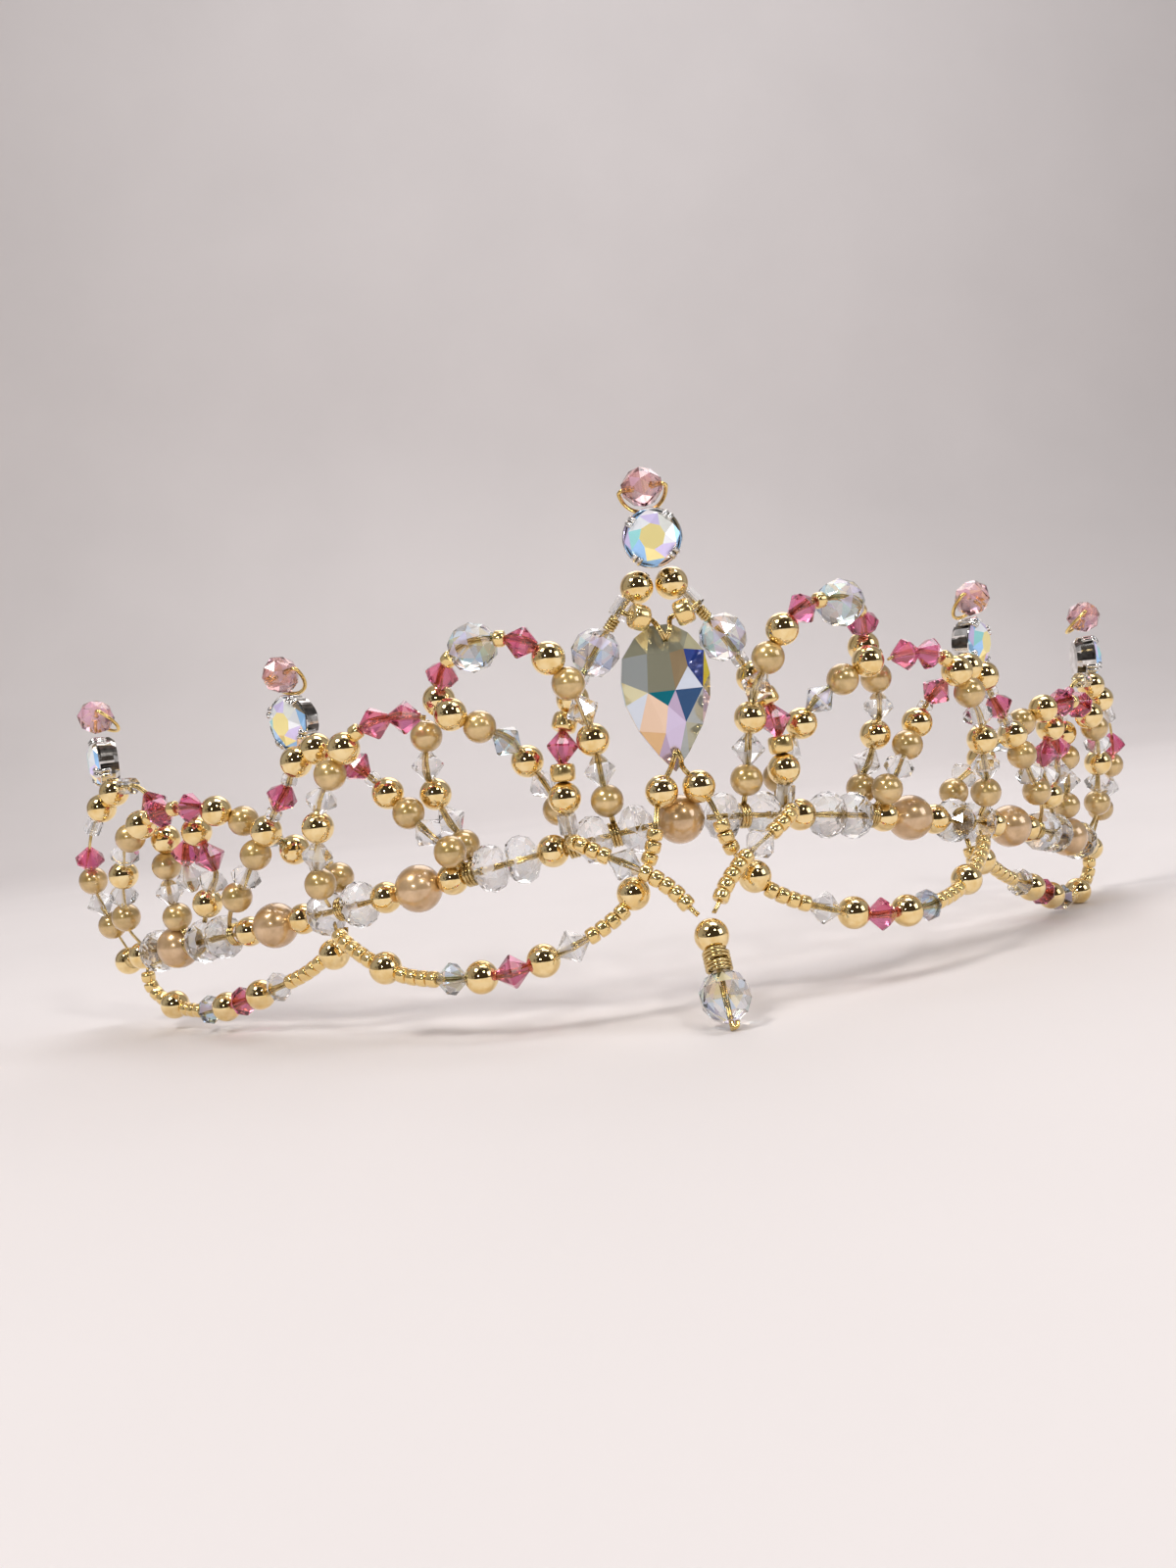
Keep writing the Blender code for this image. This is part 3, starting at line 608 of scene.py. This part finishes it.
# name: material, made from its colours and its roughness, index or share of metal
LOOKS = {
    "gold": metal_look("gilt_beads", (0.88, 0.63, 0.26), (0.98, 0.79, 0.43), 0.05),
    "wire": metal_look("gilt_wire", (0.46, 0.33, 0.12), (0.80, 0.62, 0.30), 0.20),
    "gold_wire": metal_look("bright_wire", (0.74, 0.50, 0.16), (0.92, 0.70, 0.28), 0.16),
    "silver": metal_look("plated_cup", (0.52, 0.50, 0.47), (0.92, 0.91, 0.89), 0.14),
    # Pearls mottle at random between their first two colours; their last colour is painted shade at the
    # edge
    "pearl": pearl_look("bronze_pearl", (0.56, 0.38, 0.12), (0.84, 0.60, 0.25), (0.50, 0.29, 0.06)),
    "big_pearl": pearl_look("blush_pearl", (0.60, 0.38, 0.17), (0.86, 0.60, 0.34), (0.54, 0.31, 0.09)),
    "clear": glass_look("clear_glass", WHITE, 1.24, tinted(COATED, WHITE, 0.88), CLEAR_SHARE),
    "rainbow": glass_look("coated_glass", WHITE, 1.30, tinted(COATED, WHITE, 0.30), CLEAR_SHARE),
    "pink": glass_look("pink_glass", PINK, 1.40, tinted(COATED, PINK, 0.80), CLEAR_SHARE),
    "rose": glass_look("rose_glass", ROSE, 1.36, tinted(COATED, ROSE, 0.62), CLEAR_SHARE),
    "amber": lined_look("lined_seeds", (0.92, 0.68, 0.28)),
    # The foiled stones shine with a painted glow; the centre stone's glow is 0
    "foiled": foiled_look("foiled_stone", COATED, 0.35, 0.22),
    # Near-black metal in the cups' slots: painted shade
    "slot": metal_look("cup_slot_shade", (0.05, 0.045, 0.04), (0.16, 0.15, 0.14), 0.3),
    "kite": foiled_look("coated_stone", KITE_STOPS, 0.5, 0.0),
}


class Work:
    """Faces of one piece, each with its own look."""

    def __init__(self):
        self.points = []
        self.faces = []
        self.looks = []
        self.soft = []
        self.flash = []
        self.count = 0

    def add(self, shape, look, turn=None, centre=None, soft=False, steps=None):
        """Add a shape (points, faces), turned, then moved. Its facets' numbers are given or by chance."""
        points, faces = shape
        points = np.asarray(points, dtype=float)
        if turn is not None:
            points = points @ np.array(turn).T
        if centre is not None:
            points = points + np.array(centre)
        self.points.append(points)
        for i, face in enumerate(faces):
            self.faces.append([self.count + corner for corner in face])
            self.looks.append(look)
            self.soft.append(soft)
            self.flash.append(steps[i] if steps else DICE.random())
        self.count += len(points)

    def finish(self, name, node):
        """Make the object, ride it on the tiara and let it stand for its CAD node."""
        mesh = bpy.data.meshes.new(name)
        mesh.from_pydata(np.concatenate(self.points) * MM, [], self.faces)
        names = sorted(set(self.looks))
        for look in names:
            mesh.materials.append(LOOKS[look])
        mesh.polygons.foreach_set("material_index", [names.index(look) for look in self.looks])
        mesh.polygons.foreach_set("use_smooth", self.soft)
        mesh.attributes.new("flash", "FLOAT", "FACE").data.foreach_set("value", self.flash)
        mesh.update()
        item = bpy.data.objects.new(name, mesh)
        bpy.context.scene.collection.objects.link(item)
        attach(item, "root")
        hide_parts(node)


def ring(radius, height, count, shift=0.0):
    """Corners of a ring about Z, turned by a share of the step between two of them."""
    angles = [2 * math.pi * (k + shift) / count for k in range(count)]
    return [(radius * math.cos(a), radius * math.sin(a), height) for a in angles]


def turned(profile, count):
    """Surface of (height, radius) turned about Z, open at both ends."""
    points = [p for height, radius in profile for p in ring(radius, height, count)]
    faces = []
    for row in range(len(profile) - 1):
        for k in range(count):
            n = (k + 1) % count
            faces.append((row * count + k, row * count + n, (row + 1) * count + n, (row + 1) * count + k))
    return points, faces


def faceted(rows, count):
    """Cut body from (height, radius, shift) rows of corners, with triangles where the shift changes."""
    points = [p for height, radius, shift in rows for p in ring(radius, height, count, shift)]
    faces = [tuple(range(count))[::-1]]
    for row in range(len(rows) - 1):
        low, high = row * count, (row + 1) * count
        skip = rows[row + 1][2] - rows[row][2]
        for k in range(count):
            n = (k + 1) % count
            if skip > 0:
                faces.append((low + k, low + n, high + k))
                faces.append((low + n, high + n, high + k))
            elif skip < 0:
                faces.append((low + k, high + n, high + k))
                faces.append((low + k, low + n, high + n))
            else:
                faces.append((low + k, low + n, high + n, high + k))
    faces.append(tuple(range((len(rows) - 1) * count, len(rows) * count)))
    return points, faces


def round_bead(diameter):
    """Ball with a dished hole at either end."""
    radius = diameter / 2
    first = math.asin(HOLE_RIM)
    arc = [first + (math.pi - 2 * first) * i / BALL_ROWS for i in range(BALL_ROWS + 1)]
    profile = [(-radius * math.cos(a), radius * math.sin(a)) for a in arc]
    floor = (HOLE_FLOOR_AT * profile[-1][0], HOLE_FLOOR * radius)
    return turned([(-floor[0], floor[1])] + profile + [floor], BALL_SIDES)


def bicone(diameter, length):
    """Double cone cut with eight long triangles to each end."""
    radius, half = diameter / 2, length / 2
    rows = [(-half, 0.26 * radius, 0.0), (-0.07 * half, radius, 0.5), (0.07 * half, radius, 0.5),
            (half, 0.26 * radius, 0.0)]
    return faceted(rows, 8)


def cut_drop(diameter, length):
    """Double cone with an extra row of facets that rounds each side."""
    radius, half = diameter / 2, length / 2
    rows = [(-half, 0.30 * radius, 0.0), (-0.52 * half, 0.80 * radius, 0.5), (0.0, radius, 0.0),
            (0.52 * half, 0.80 * radius, 0.5), (half, 0.30 * radius, 0.0)]
    return faceted(rows, 8)


def cut_ball(diameter):
    """Faceted ball, three rows of facets above and below its middle."""
    radius = diameter / 2
    rows = []
    for i, degrees in enumerate((-74, -47, -17, 17, 47, 74)):
        a = math.radians(degrees)
        rows.append((radius * math.sin(a), radius * math.cos(a), 0.5 * (i % 2)))
    return faceted(rows, 10)


def rondelle(diameter, length):
    """Flattened bead with rows of small facets."""
    radius, half = diameter / 2, length / 2
    rows = [(-half, 0.42 * radius, 0.0), (-0.62 * half, 0.86 * radius, 0.5), (-0.16 * half, radius, 0.0),
            (0.16 * half, radius, 0.5), (0.62 * half, 0.86 * radius, 0.0), (half, 0.42 * radius, 0.5)]
    return faceted(rows, 12)


def seed(diameter, length):
    """Squat barrel bead with rounded rims and a wide hole."""
    radius, half = diameter / 2, length / 2
    profile = [(-0.6 * half, 0.34 * radius), (-0.90 * half, 0.42 * radius), (-0.96 * half, 0.62 * radius),
               (-0.90 * half, 0.84 * radius), (-0.70 * half, 0.96 * radius), (-0.35 * half, radius)]
    return turned(profile + [(-h, r) for h, r in profile[::-1]], 16)


def cut_tube(diameter, length):
    """Short glass tube with eight flat sides and a hole."""
    radius, half = diameter / 2, length / 2
    profile = [(0.0, 0.4 * radius), (-half, 0.45 * radius), (-half, 0.9 * radius), (-0.9 * half, radius)]
    return turned(profile + [(-h, r) for h, r in profile[::-1]], 8)


def wire_tube(points, diameter, sides=6):
    """Wire along points, closed at both ends."""
    corners = []
    side = None
    last = len(points) - 1
    for i, centre in enumerate(points):
        heading = (points[min(i + 1, last)] - points[max(i - 1, 0)]).normalized()
        if side is None:
            side = heading.orthogonal()
        side = (side - heading * heading.dot(side)).normalized()
        over = heading.cross(side)
        for k in range(sides):
            a = 2 * math.pi * k / sides
            corners.append(tuple(centre + (side * math.cos(a) + over * math.sin(a)) * (diameter / 2)))
    faces = [tuple(range(sides))[::-1], tuple(range(last * sides, (last + 1) * sides))]
    for i in range(last):
        for k in range(sides):
            n = (k + 1) % sides
            faces.append((i * sides + k, i * sides + n, (i + 1) * sides + n, (i + 1) * sides + k))
    return corners, faces


def wrap(length, diameter, turns):
    """Wire wound about Z."""
    steps = TURN_STEPS * turns
    radius = (diameter - WRAP_WIRE_D) / 2
    points = []
    for i in range(steps + 1):
        a = 2 * math.pi * turns * i / steps
        points.append(Vector((radius * math.cos(a), radius * math.sin(a), length * (i / steps - 0.5))))
    return wire_tube(points, WRAP_WIRE_D)


def facing(direction, spin=0.0):
    """Turn that takes Z to a direction, after a spin about Z."""
    return Vector((0, 0, 1)).rotation_difference(direction).to_matrix() @ Matrix.Rotation(spin, 3, "Z")


# kind: (shape, look, whether it is smooth)
SHAPES = {
    "gold": (round_bead(GOLD_D), "gold", True),
    "pearl": (round_bead(PEARL_D), "pearl", True),
    "big_pearl": (round_bead(BIG_PEARL_D), "big_pearl", True),
    "crystal": (cut_ball(ROUND_CRYSTAL_D), "rainbow", False),
    "rondelle": (rondelle(*BEADS["rondelle"]), "clear", False),
    "clear": (bicone(*BEADS["clear"]), "clear", False),
    "rainbow": (bicone(*BEADS["rainbow"]), "rainbow", False),
    "pink": (bicone(*BEADS["pink"]), "pink", False),
    "tip": (cut_drop(*BEADS["tip"]), "rose", False),
    "seed": (seed(*BEADS["seed"]), "amber", True),
    "clear_seed": (seed(*BEADS["clear_seed"]), "clear", True),
    "large_seed": (seed(*BEADS["large_seed"]), "amber", True),
    "tube": (cut_tube(*BEADS["tube"]), "clear", False),
    "coil": (wrap(COIL_LEN, WRAP_D, COIL_TURNS), "wire", True),
}


def rest_place(point):
    """A place from the level band to the tiara as it rests."""
    return MIDDLE + Matrix.Rotation(-REST_TILT, 3, "X") @ point


def rest_path(points):
    """A path as the tiara rests."""
    return Path([rest_place(point) for point in points])


def add_bead(work, kind, entry, leave):
    """One bead between its two holes, spun to a chance angle as loose beads are."""
    if kind == "wire":
        return
    shape, look, soft = SHAPES[kind]
    turn = facing((leave - entry).normalized(), DICE.uniform(0, math.pi))
    work.add(shape, look, turn, (entry + leave) / 2, soft)


def add_wire(work, path, spread=WIRE_SPREAD):
    """The two strands of wire that run through a string."""
    steps = max(6, int(path.length / WIRE_STEP))
    strands = ([], [])
    side = Vector((1, 0, 0.3))
    for i in range(steps + 1):
        distance = path.length * i / steps
        here = path.at(distance)
        ahead = (path.at(distance + 0.1) - path.at(distance - 0.1)).normalized()
        side = (side - ahead * ahead.dot(side)).normalized()
        strands[0].append(here + side * spread)
        strands[1].append(here - side * spread)
    for strand in strands:
        work.add(wire_tube(strand, WIRE_D), "wire", soft=True)


def add_beads(work, text, path, lead):
    """All beads of a string, each run written out."""
    for kind, count, start, end in string_places(text, path, lead):
        step = (end - start) / count
        for i in range(count):
            add_bead(work, kind, path.at(start + i * step), path.at(start + (i + 1) * step))


def make_string(name, side):
    """A string on one side, its beads over the wire."""
    lead, text, route = STRINGS[name]
    path = rest_path(smooth_path([place(point, side) for point in route]))
    wire_route = WIRE_LEADS.get(name, []) + route
    work = Work()
    add_wire(work, rest_path(smooth_path([place(point, side) for point in wire_route])))
    add_beads(work, text, path, lead)
    if name == "crown":
        add_tie(work, text, path, lead)
    work.finish(f"strung_{name}_{side}", f"{name}_{side}")


def add_tie(work, text, path, lead):
    """Turns of the hanger's wire about the strand where it is bare."""
    for kind, _, start, end in string_places(text, path, lead):
        if kind == "wire":
            entry, leave = path.at(start), path.at(end)
            turn = facing((leave - entry).normalized())
            tie = wrap(TIE_SHARE * (end - start), TIE_D, TIE_TURNS)
            work.add(tie, "wire", turn, (entry + leave) / 2, True)


def make_band(side):
    """Half of the band."""
    length = sum(BEADS[kind][1] * count for kind, count in bead_list(BAND_BEADS))
    route = [(BAND_START + length * i / BAND_STOPS, 0.0, 0.0) for i in range(BAND_STOPS + 1)]
    path = rest_path(smooth_path([place(point, side) for point in route], 6))
    work = Work()
    add_wire(work, path)
    add_beads(work, BAND_BEADS, path, 0.0)
    work.finish(f"strung_band_{side}", f"band_{side}")


def make_middle_pearl():
    """Large pearl in the middle of the band."""
    half = Vector((BEADS["big_pearl"][1] / 2, 0.0, 0.0))
    work = Work()
    add_bead(work, "big_pearl", MIDDLE - half, MIDDLE + half)
    work.finish("strung_middle_pearl", "middle_pearl")


def make_pendant():
    """Drop under the brow: gold bead, close coil, cut ball and the wire's turned end."""
    points = [place(point, "right") for point in PENDANT_ROUTE]
    path = rest_path([Vector((0.0, p.y, p.z)) for p in points])
    work = Work()
    add_wire(work, path, DROP_WIRE_SPREAD)
    add_beads(work, PENDANT_BEADS, path, 0.5)
    end = path.at(path.length)
    along = (end - path.at(path.length - 1)).normalized()
    aside = Vector((1.0, 0.0, 0.0))
    hook = [end - along * back + aside * off for back, off in HOOK_BEND]
    work.add(wire_tube(smooth_path(hook, 4), HOOK_D, 8), "gold_wire", soft=True)
    work.finish("strung_drop", "pendant")


def stone_facets(table, height, belt, count):
    """Crown of a round stone: flat table, star, kite and belt facets."""
    rows = [(0.0, belt, 0.0), (0.45 * height, 0.86 * belt, 0.5), (height, table * belt, 0.0)]
    points, faces = faceted(rows, count)
    return points, faces[1:]


def add_cup(work, turn, centre):
    """Ribbed cup with slots between its ribs, painted near black as painted shade, and a flat back."""
    wall = CUP_D / 2
    rows = [
        (-CUP_DEPTH, 0.60 * wall),
        (-CUP_DEPTH + CUP_FOOT, 0.78 * wall),
        (-0.7 * CUP_DEPTH, 0.93 * wall),
        (-0.12 * CUP_DEPTH, 0.97 * wall),
        (0.0, 0.985 * wall),
        (CUP_LIP, 0.96 * wall),
        (0.0, 0.91 * wall),
    ]
    points, faces = turned(rows, CUP_SIDES)
    ribbed = []
    for i, (x, y, z) in enumerate(points):
        deep = SLOT_DEPTH if i % RIB_SIDES < RIB_SIDES // 2 and i // CUP_SIDES in (2, 3) else 1.0
        ribbed.append((x * deep, y * deep, z))
    ribs = []
    slots = []
    for i, face in enumerate(faces):
        in_slot = i % RIB_SIDES < RIB_SIDES // 2 and i // CUP_SIDES in (1, 2, 3)
        (slots if in_slot else ribs).append(face)
    back = (ring(0.60 * wall, -CUP_DEPTH, CUP_SIDES), [tuple(range(CUP_SIDES))[::-1]])
    work.add((ribbed, ribs), "silver", turn, centre)
    # The slots take the near-black look: painted shade in the recesses between the ribs
    work.add((ribbed, slots), "slot", turn, centre)
    work.add(back, "silver", turn, centre)


def add_claws(work, turn, centre):
    """Broad claws of two ridges each, bent over the stone's edge."""
    wall = CUP_D / 2
    arc = [Vector((0.90 * wall, 0.0, -0.5 * CUP_DEPTH)), Vector((0.93 * wall, 0.0, 0.0)),
           Vector((0.88 * wall, 0.0, 0.45)), Vector((0.76 * wall, 0.0, 0.75))]
    for k in range(CLAW_COUNT):
        spin = Matrix.Rotation(2 * math.pi / CLAW_COUNT * (k + 0.5), 3, "Z")
        for aside in (-CLAW_HALF_WIDTH, CLAW_HALF_WIDTH):
            across = spin @ Vector((0.0, aside, 0.0))
            claw = wire_tube(smooth_path([spin @ p + across for p in arc], 4), CLAW_WIRE_D, 8)
            work.add(claw, "silver", turn, centre, True)


def make_setting(name, node, centre, turn, steps):
    """Round foiled stone in its cup, held by claws."""
    work = Work()
    add_cup(work, turn, centre)
    stone = stone_facets(TABLE_SHARE, STONE_CROWN, STONE_D / 2, 8)
    work.add(stone, "foiled", turn, centre, steps=steps)
    add_claws(work, turn, centre)
    work.finish(name, node)


def make_tip(name, node, centre, turn):
    """Cut bead in a loop of wire that leans back behind the set stone and ends in the bead's hole."""
    rest = Matrix.Rotation(-REST_TILT, 3, "X")
    across = rest @ Vector((math.cos(turn), math.sin(turn), 0.0))
    back = rest @ Vector((-math.sin(turn), math.cos(turn), 0.0))
    down = back * math.sin(TIP_LOOP_LEAN) - (rest @ Vector((0, 0, 1))) * math.cos(TIP_LOOP_LEAN)
    work = Work()
    half = BEADS["tip"][1] / 2
    add_bead(work, "tip", centre - across * half, centre + across * half)
    reach = half + TIP_LOOP_GAP
    points = [centre + across * (0.3 * half), centre + across * (0.95 * half)]
    for i in range(15):
        a = math.pi * i / 14
        below = TIP_LOOP_START + TIP_LOOP_DROP * math.sin(a)
        points.append(centre + across * (reach * math.cos(a)) + down * below)
    points += [centre - across * (0.95 * half), centre - across * (0.3 * half)]
    work.add(wire_tube(smooth_path(points, 3), LOOP_D, 8), "gold_wire", soft=True)
    work.finish(name, node)


def facing_turn(turn, tilt):
    """Turn of a set stone, local Z out of its table, as the tiara rests."""
    upright = Matrix.Rotation(math.pi / 2, 3, "X")
    spin = Matrix.Rotation(turn, 3, "Z") @ Matrix.Rotation(-tilt, 3, "X") @ upright
    return Matrix.Rotation(-REST_TILT, 3, "X") @ spin


def make_crest(kind, side, name):
    """A set stone with its tip bead above it."""
    along, up, out, turn, tilt, tip_shift, more_along, more_up = SET_STONES[kind]
    sign = -1.0 if side == "left" else 1.0
    along -= sign * more_along
    up -= sign * more_up
    centre = place((along, up, out), side)
    above = place((along + tip_shift, up + TIP_HEIGHT, out - TIP_BEHIND), side)
    if kind == "centre":
        centre.x = 0.0
        above.x = tip_shift
    turn = math.radians(turn) * sign
    steps = [FACET_STEPS[i // 2 % len(FACET_STEPS)] for i in range(SET_STONE_FACETS - 1)]
    steps.append(TABLE_STEP[kind])
    stone_turn = facing_turn(turn, math.radians(tilt))
    make_setting(f"chaton_{name}", f"set_stone_{name}", rest_place(centre), stone_turn, steps)
    make_tip(f"tip_stone_{name}", f"tip_bead_{name}", rest_place(above), turn)


def dome(x, y, outline):
    """Height of the stone's front over its edge, as a share, falling off towards the outline."""
    gap = min(math.dist((x, y), corner) for corner in outline)
    return 1.0 - (1.0 - min(gap / STONE_SHOULDER, 1.0)) ** 2


def stone_turn_and_tip():
    """Turn of the centre stone, its length along Y and its front along Z, and its tip's place."""
    tip = place((0.0, *STONE_TIP), "right")
    top = place((0.0, *STONE_TOP), "right")
    tip.x = top.x = 0.0
    rise = (top - tip).normalized()
    front = Vector((1, 0, 0)).cross(rise)
    turn = Matrix.Rotation(-REST_TILT, 3, "X") @ Matrix((
        (1.0, rise.x, front.x), (0.0, rise.y, front.y), (0.0, rise.z, front.z)))
    return turn, rest_place(tip)


def stone_side(outline, sign):
    """Facets of the centre stone's front (sign 1) or back (sign -1)."""
    names = ["tip"] + [f"r{8 - i}" for i in range(1, 8)] + [f"l{i}" for i in range(1, 8)]
    points = [(x, y, sign * GIRDLE_THICK / 2) for x, y in outline]
    for share_x, share_y in STONE_POINTS.values():
        x, y = STONE_WIDTH / 2 * share_x, STONE_LEN * share_y
        height = GIRDLE_THICK / 2 + (STONE_THICK - GIRDLE_THICK) / 2 * dome(x, y, outline)
        points.append((x, y, sign * height))
    number = {name: i for i, name in enumerate(names + list(STONE_POINTS))}
    faces = [[number[name] for name in corners.split()][::-sign] for corners, _ in STONE_FACETS]
    return points, faces


def make_centre_stone():
    """Long cut stone with its facets front and back, wired through a hole at each end."""
    turn, centre = stone_turn_and_tip()
    right = [(STONE_WIDTH / 2 * x, STONE_LEN * y) for x, y in STONE_OUTLINE]
    outline = right + [(-x, y) for x, y in reversed(right) if x > 0]
    count = len(outline)
    steps = [KITE_STEPS[colour] for _, colour in STONE_FACETS]
    work = Work()
    for sign in (1, -1):
        work.add(stone_side(outline, sign), "kite", turn, centre, steps=steps)
    edge = [(x, y, sign * GIRDLE_THICK / 2) for sign in (-1, 1) for x, y in outline]
    belt = [(k, (k + 1) % count, count + (k + 1) % count, count + k) for k in range(count)]
    work.add((edge, belt), "kite", turn, centre)
    work.finish("kite_stone", "centre_stone")


def pale_look(name, colour):
    """Matt pale surface, nearly without grain."""
    look = new_look(name, colour, 0.75)
    shade = tuple(0.95 * c for c in colour)
    mottle = ramp(look, noise(look, FLOOR_MOTTLE_SCALE), [(0.25, shade), (0.75, colour)])
    link(look, mottle, shader_of(look).inputs["Base Color"])
    return look


def make_surround():
    """Floor that sweeps up into a backdrop."""
    rows = [(FLOOR_FRONT, 0.0), (FLOOR_BACK, 0.0)]
    for i in range(1, SWEEP_STEPS + 1):
        a = math.pi / 2 * i / SWEEP_STEPS
        rows.append((FLOOR_BACK + SWEEP_RADIUS * math.sin(a), SWEEP_RADIUS * (1 - math.cos(a))))
    rows.append((FLOOR_BACK + SWEEP_RADIUS, BACKDROP_TOP))
    points = []
    for y, z in rows:
        points += [(-HALF_WIDTH, y, z), (HALF_WIDTH, y, z)]
    faces = [(2 * i, 2 * i + 1, 2 * i + 3, 2 * i + 2) for i in range(len(rows) - 1)]
    mesh = bpy.data.meshes.new("surround")
    mesh.from_pydata(points, [], faces)
    mesh.shade_smooth()
    mesh.materials.append(pale_look("surround", FLOOR_COLOUR))
    item = bpy.data.objects.new("surround", mesh)
    bpy.context.scene.collection.objects.link(item)


def make_light(name, place_at, target, size, power, colour):
    """Square soft light aimed at a point."""
    data = bpy.data.lights.new(name, "AREA")
    data.size = size
    data.energy = power
    data.color = colour
    item = bpy.data.objects.new(name, data)
    item.location = place_at
    item.rotation_euler = (Vector(target) - Vector(place_at)).to_track_quat("-Z", "Y").to_euler()
    bpy.context.scene.collection.objects.link(item)


def make_lights():
    """Soft key from the upper left, fill, two small glint lights, one behind and one on the backdrop."""
    for name, (place_at, target, size, power, colour) in LIGHTS.items():
        make_light(name, place_at, target, size, power, colour)
    bpy.context.scene.view_settings.view_transform = "Standard"


def make_world():
    """Pale surroundings with a dark side in front, which the polished beads mirror."""
    world = bpy.data.worlds.new("studio")
    bpy.context.scene.world = world
    world.use_nodes = True
    backing = world.node_tree.nodes["Background"]
    backing.inputs["Strength"].default_value = WORLD_STRENGTH
    direction = node(world, "ShaderNodeTexCoord")
    front = node(world, "ShaderNodeVectorMath")
    front.operation = "DOT_PRODUCT"
    front.inputs[1].default_value = DARK_SIDE
    patches = node(world, "ShaderNodeTexNoise", Scale=7.0, Detail=1.0)
    total = node(world, "ShaderNodeMath")
    total.operation = "MULTIPLY_ADD"
    total.inputs[1].default_value = EDGE_NOISE
    link(world, direction.outputs["Generated"], front.inputs[0])
    link(world, direction.outputs["Generated"], patches.inputs["Vector"])
    link(world, patches.outputs["Fac"], total.inputs[0])
    link(world, front.outputs["Value"], total.inputs[2])
    nearness = node(world, "ShaderNodeMapRange", From_Max=2.0)
    link(world, total.outputs["Value"], nearness.inputs["Value"])
    link(world, ramp(world, nearness.outputs["Result"], WORLD_SHADES), backing.inputs["Color"])


def make_camera():
    """Camera at the photo's place, turned with the tiara as it rests."""
    data = bpy.data.cameras.new("camera")
    data.lens = CAMERA_LENS
    data.sensor_width = CAMERA_SENSOR
    data.clip_start = CAMERA_CLIP
    camera = bpy.data.objects.new("camera", data)
    bpy.context.scene.collection.objects.link(camera)
    tilt = Matrix.Rotation(-REST_TILT, 3, "X")
    turn = (tilt @ Matrix((CAMERA_RIGHT, CAMERA_UP, CAMERA_BACK)).transposed()).to_4x4()
    camera.matrix_world = Matrix.Translation(rest_place(Vector(CAMERA_AT)) * MM) @ turn
    bpy.context.scene.camera = camera


make_middle_pearl()
make_centre_stone()
make_pendant()
make_crest("centre", "right", "centre")
for half_side in ("left", "right"):
    make_band(half_side)
    for string_name in STRINGS:
        make_string(string_name, half_side)
    make_crest("post", half_side, f"post_{half_side}")
    make_crest("end_post", half_side, f"end_{half_side}")
make_surround()
make_lights()
make_world()
make_camera()
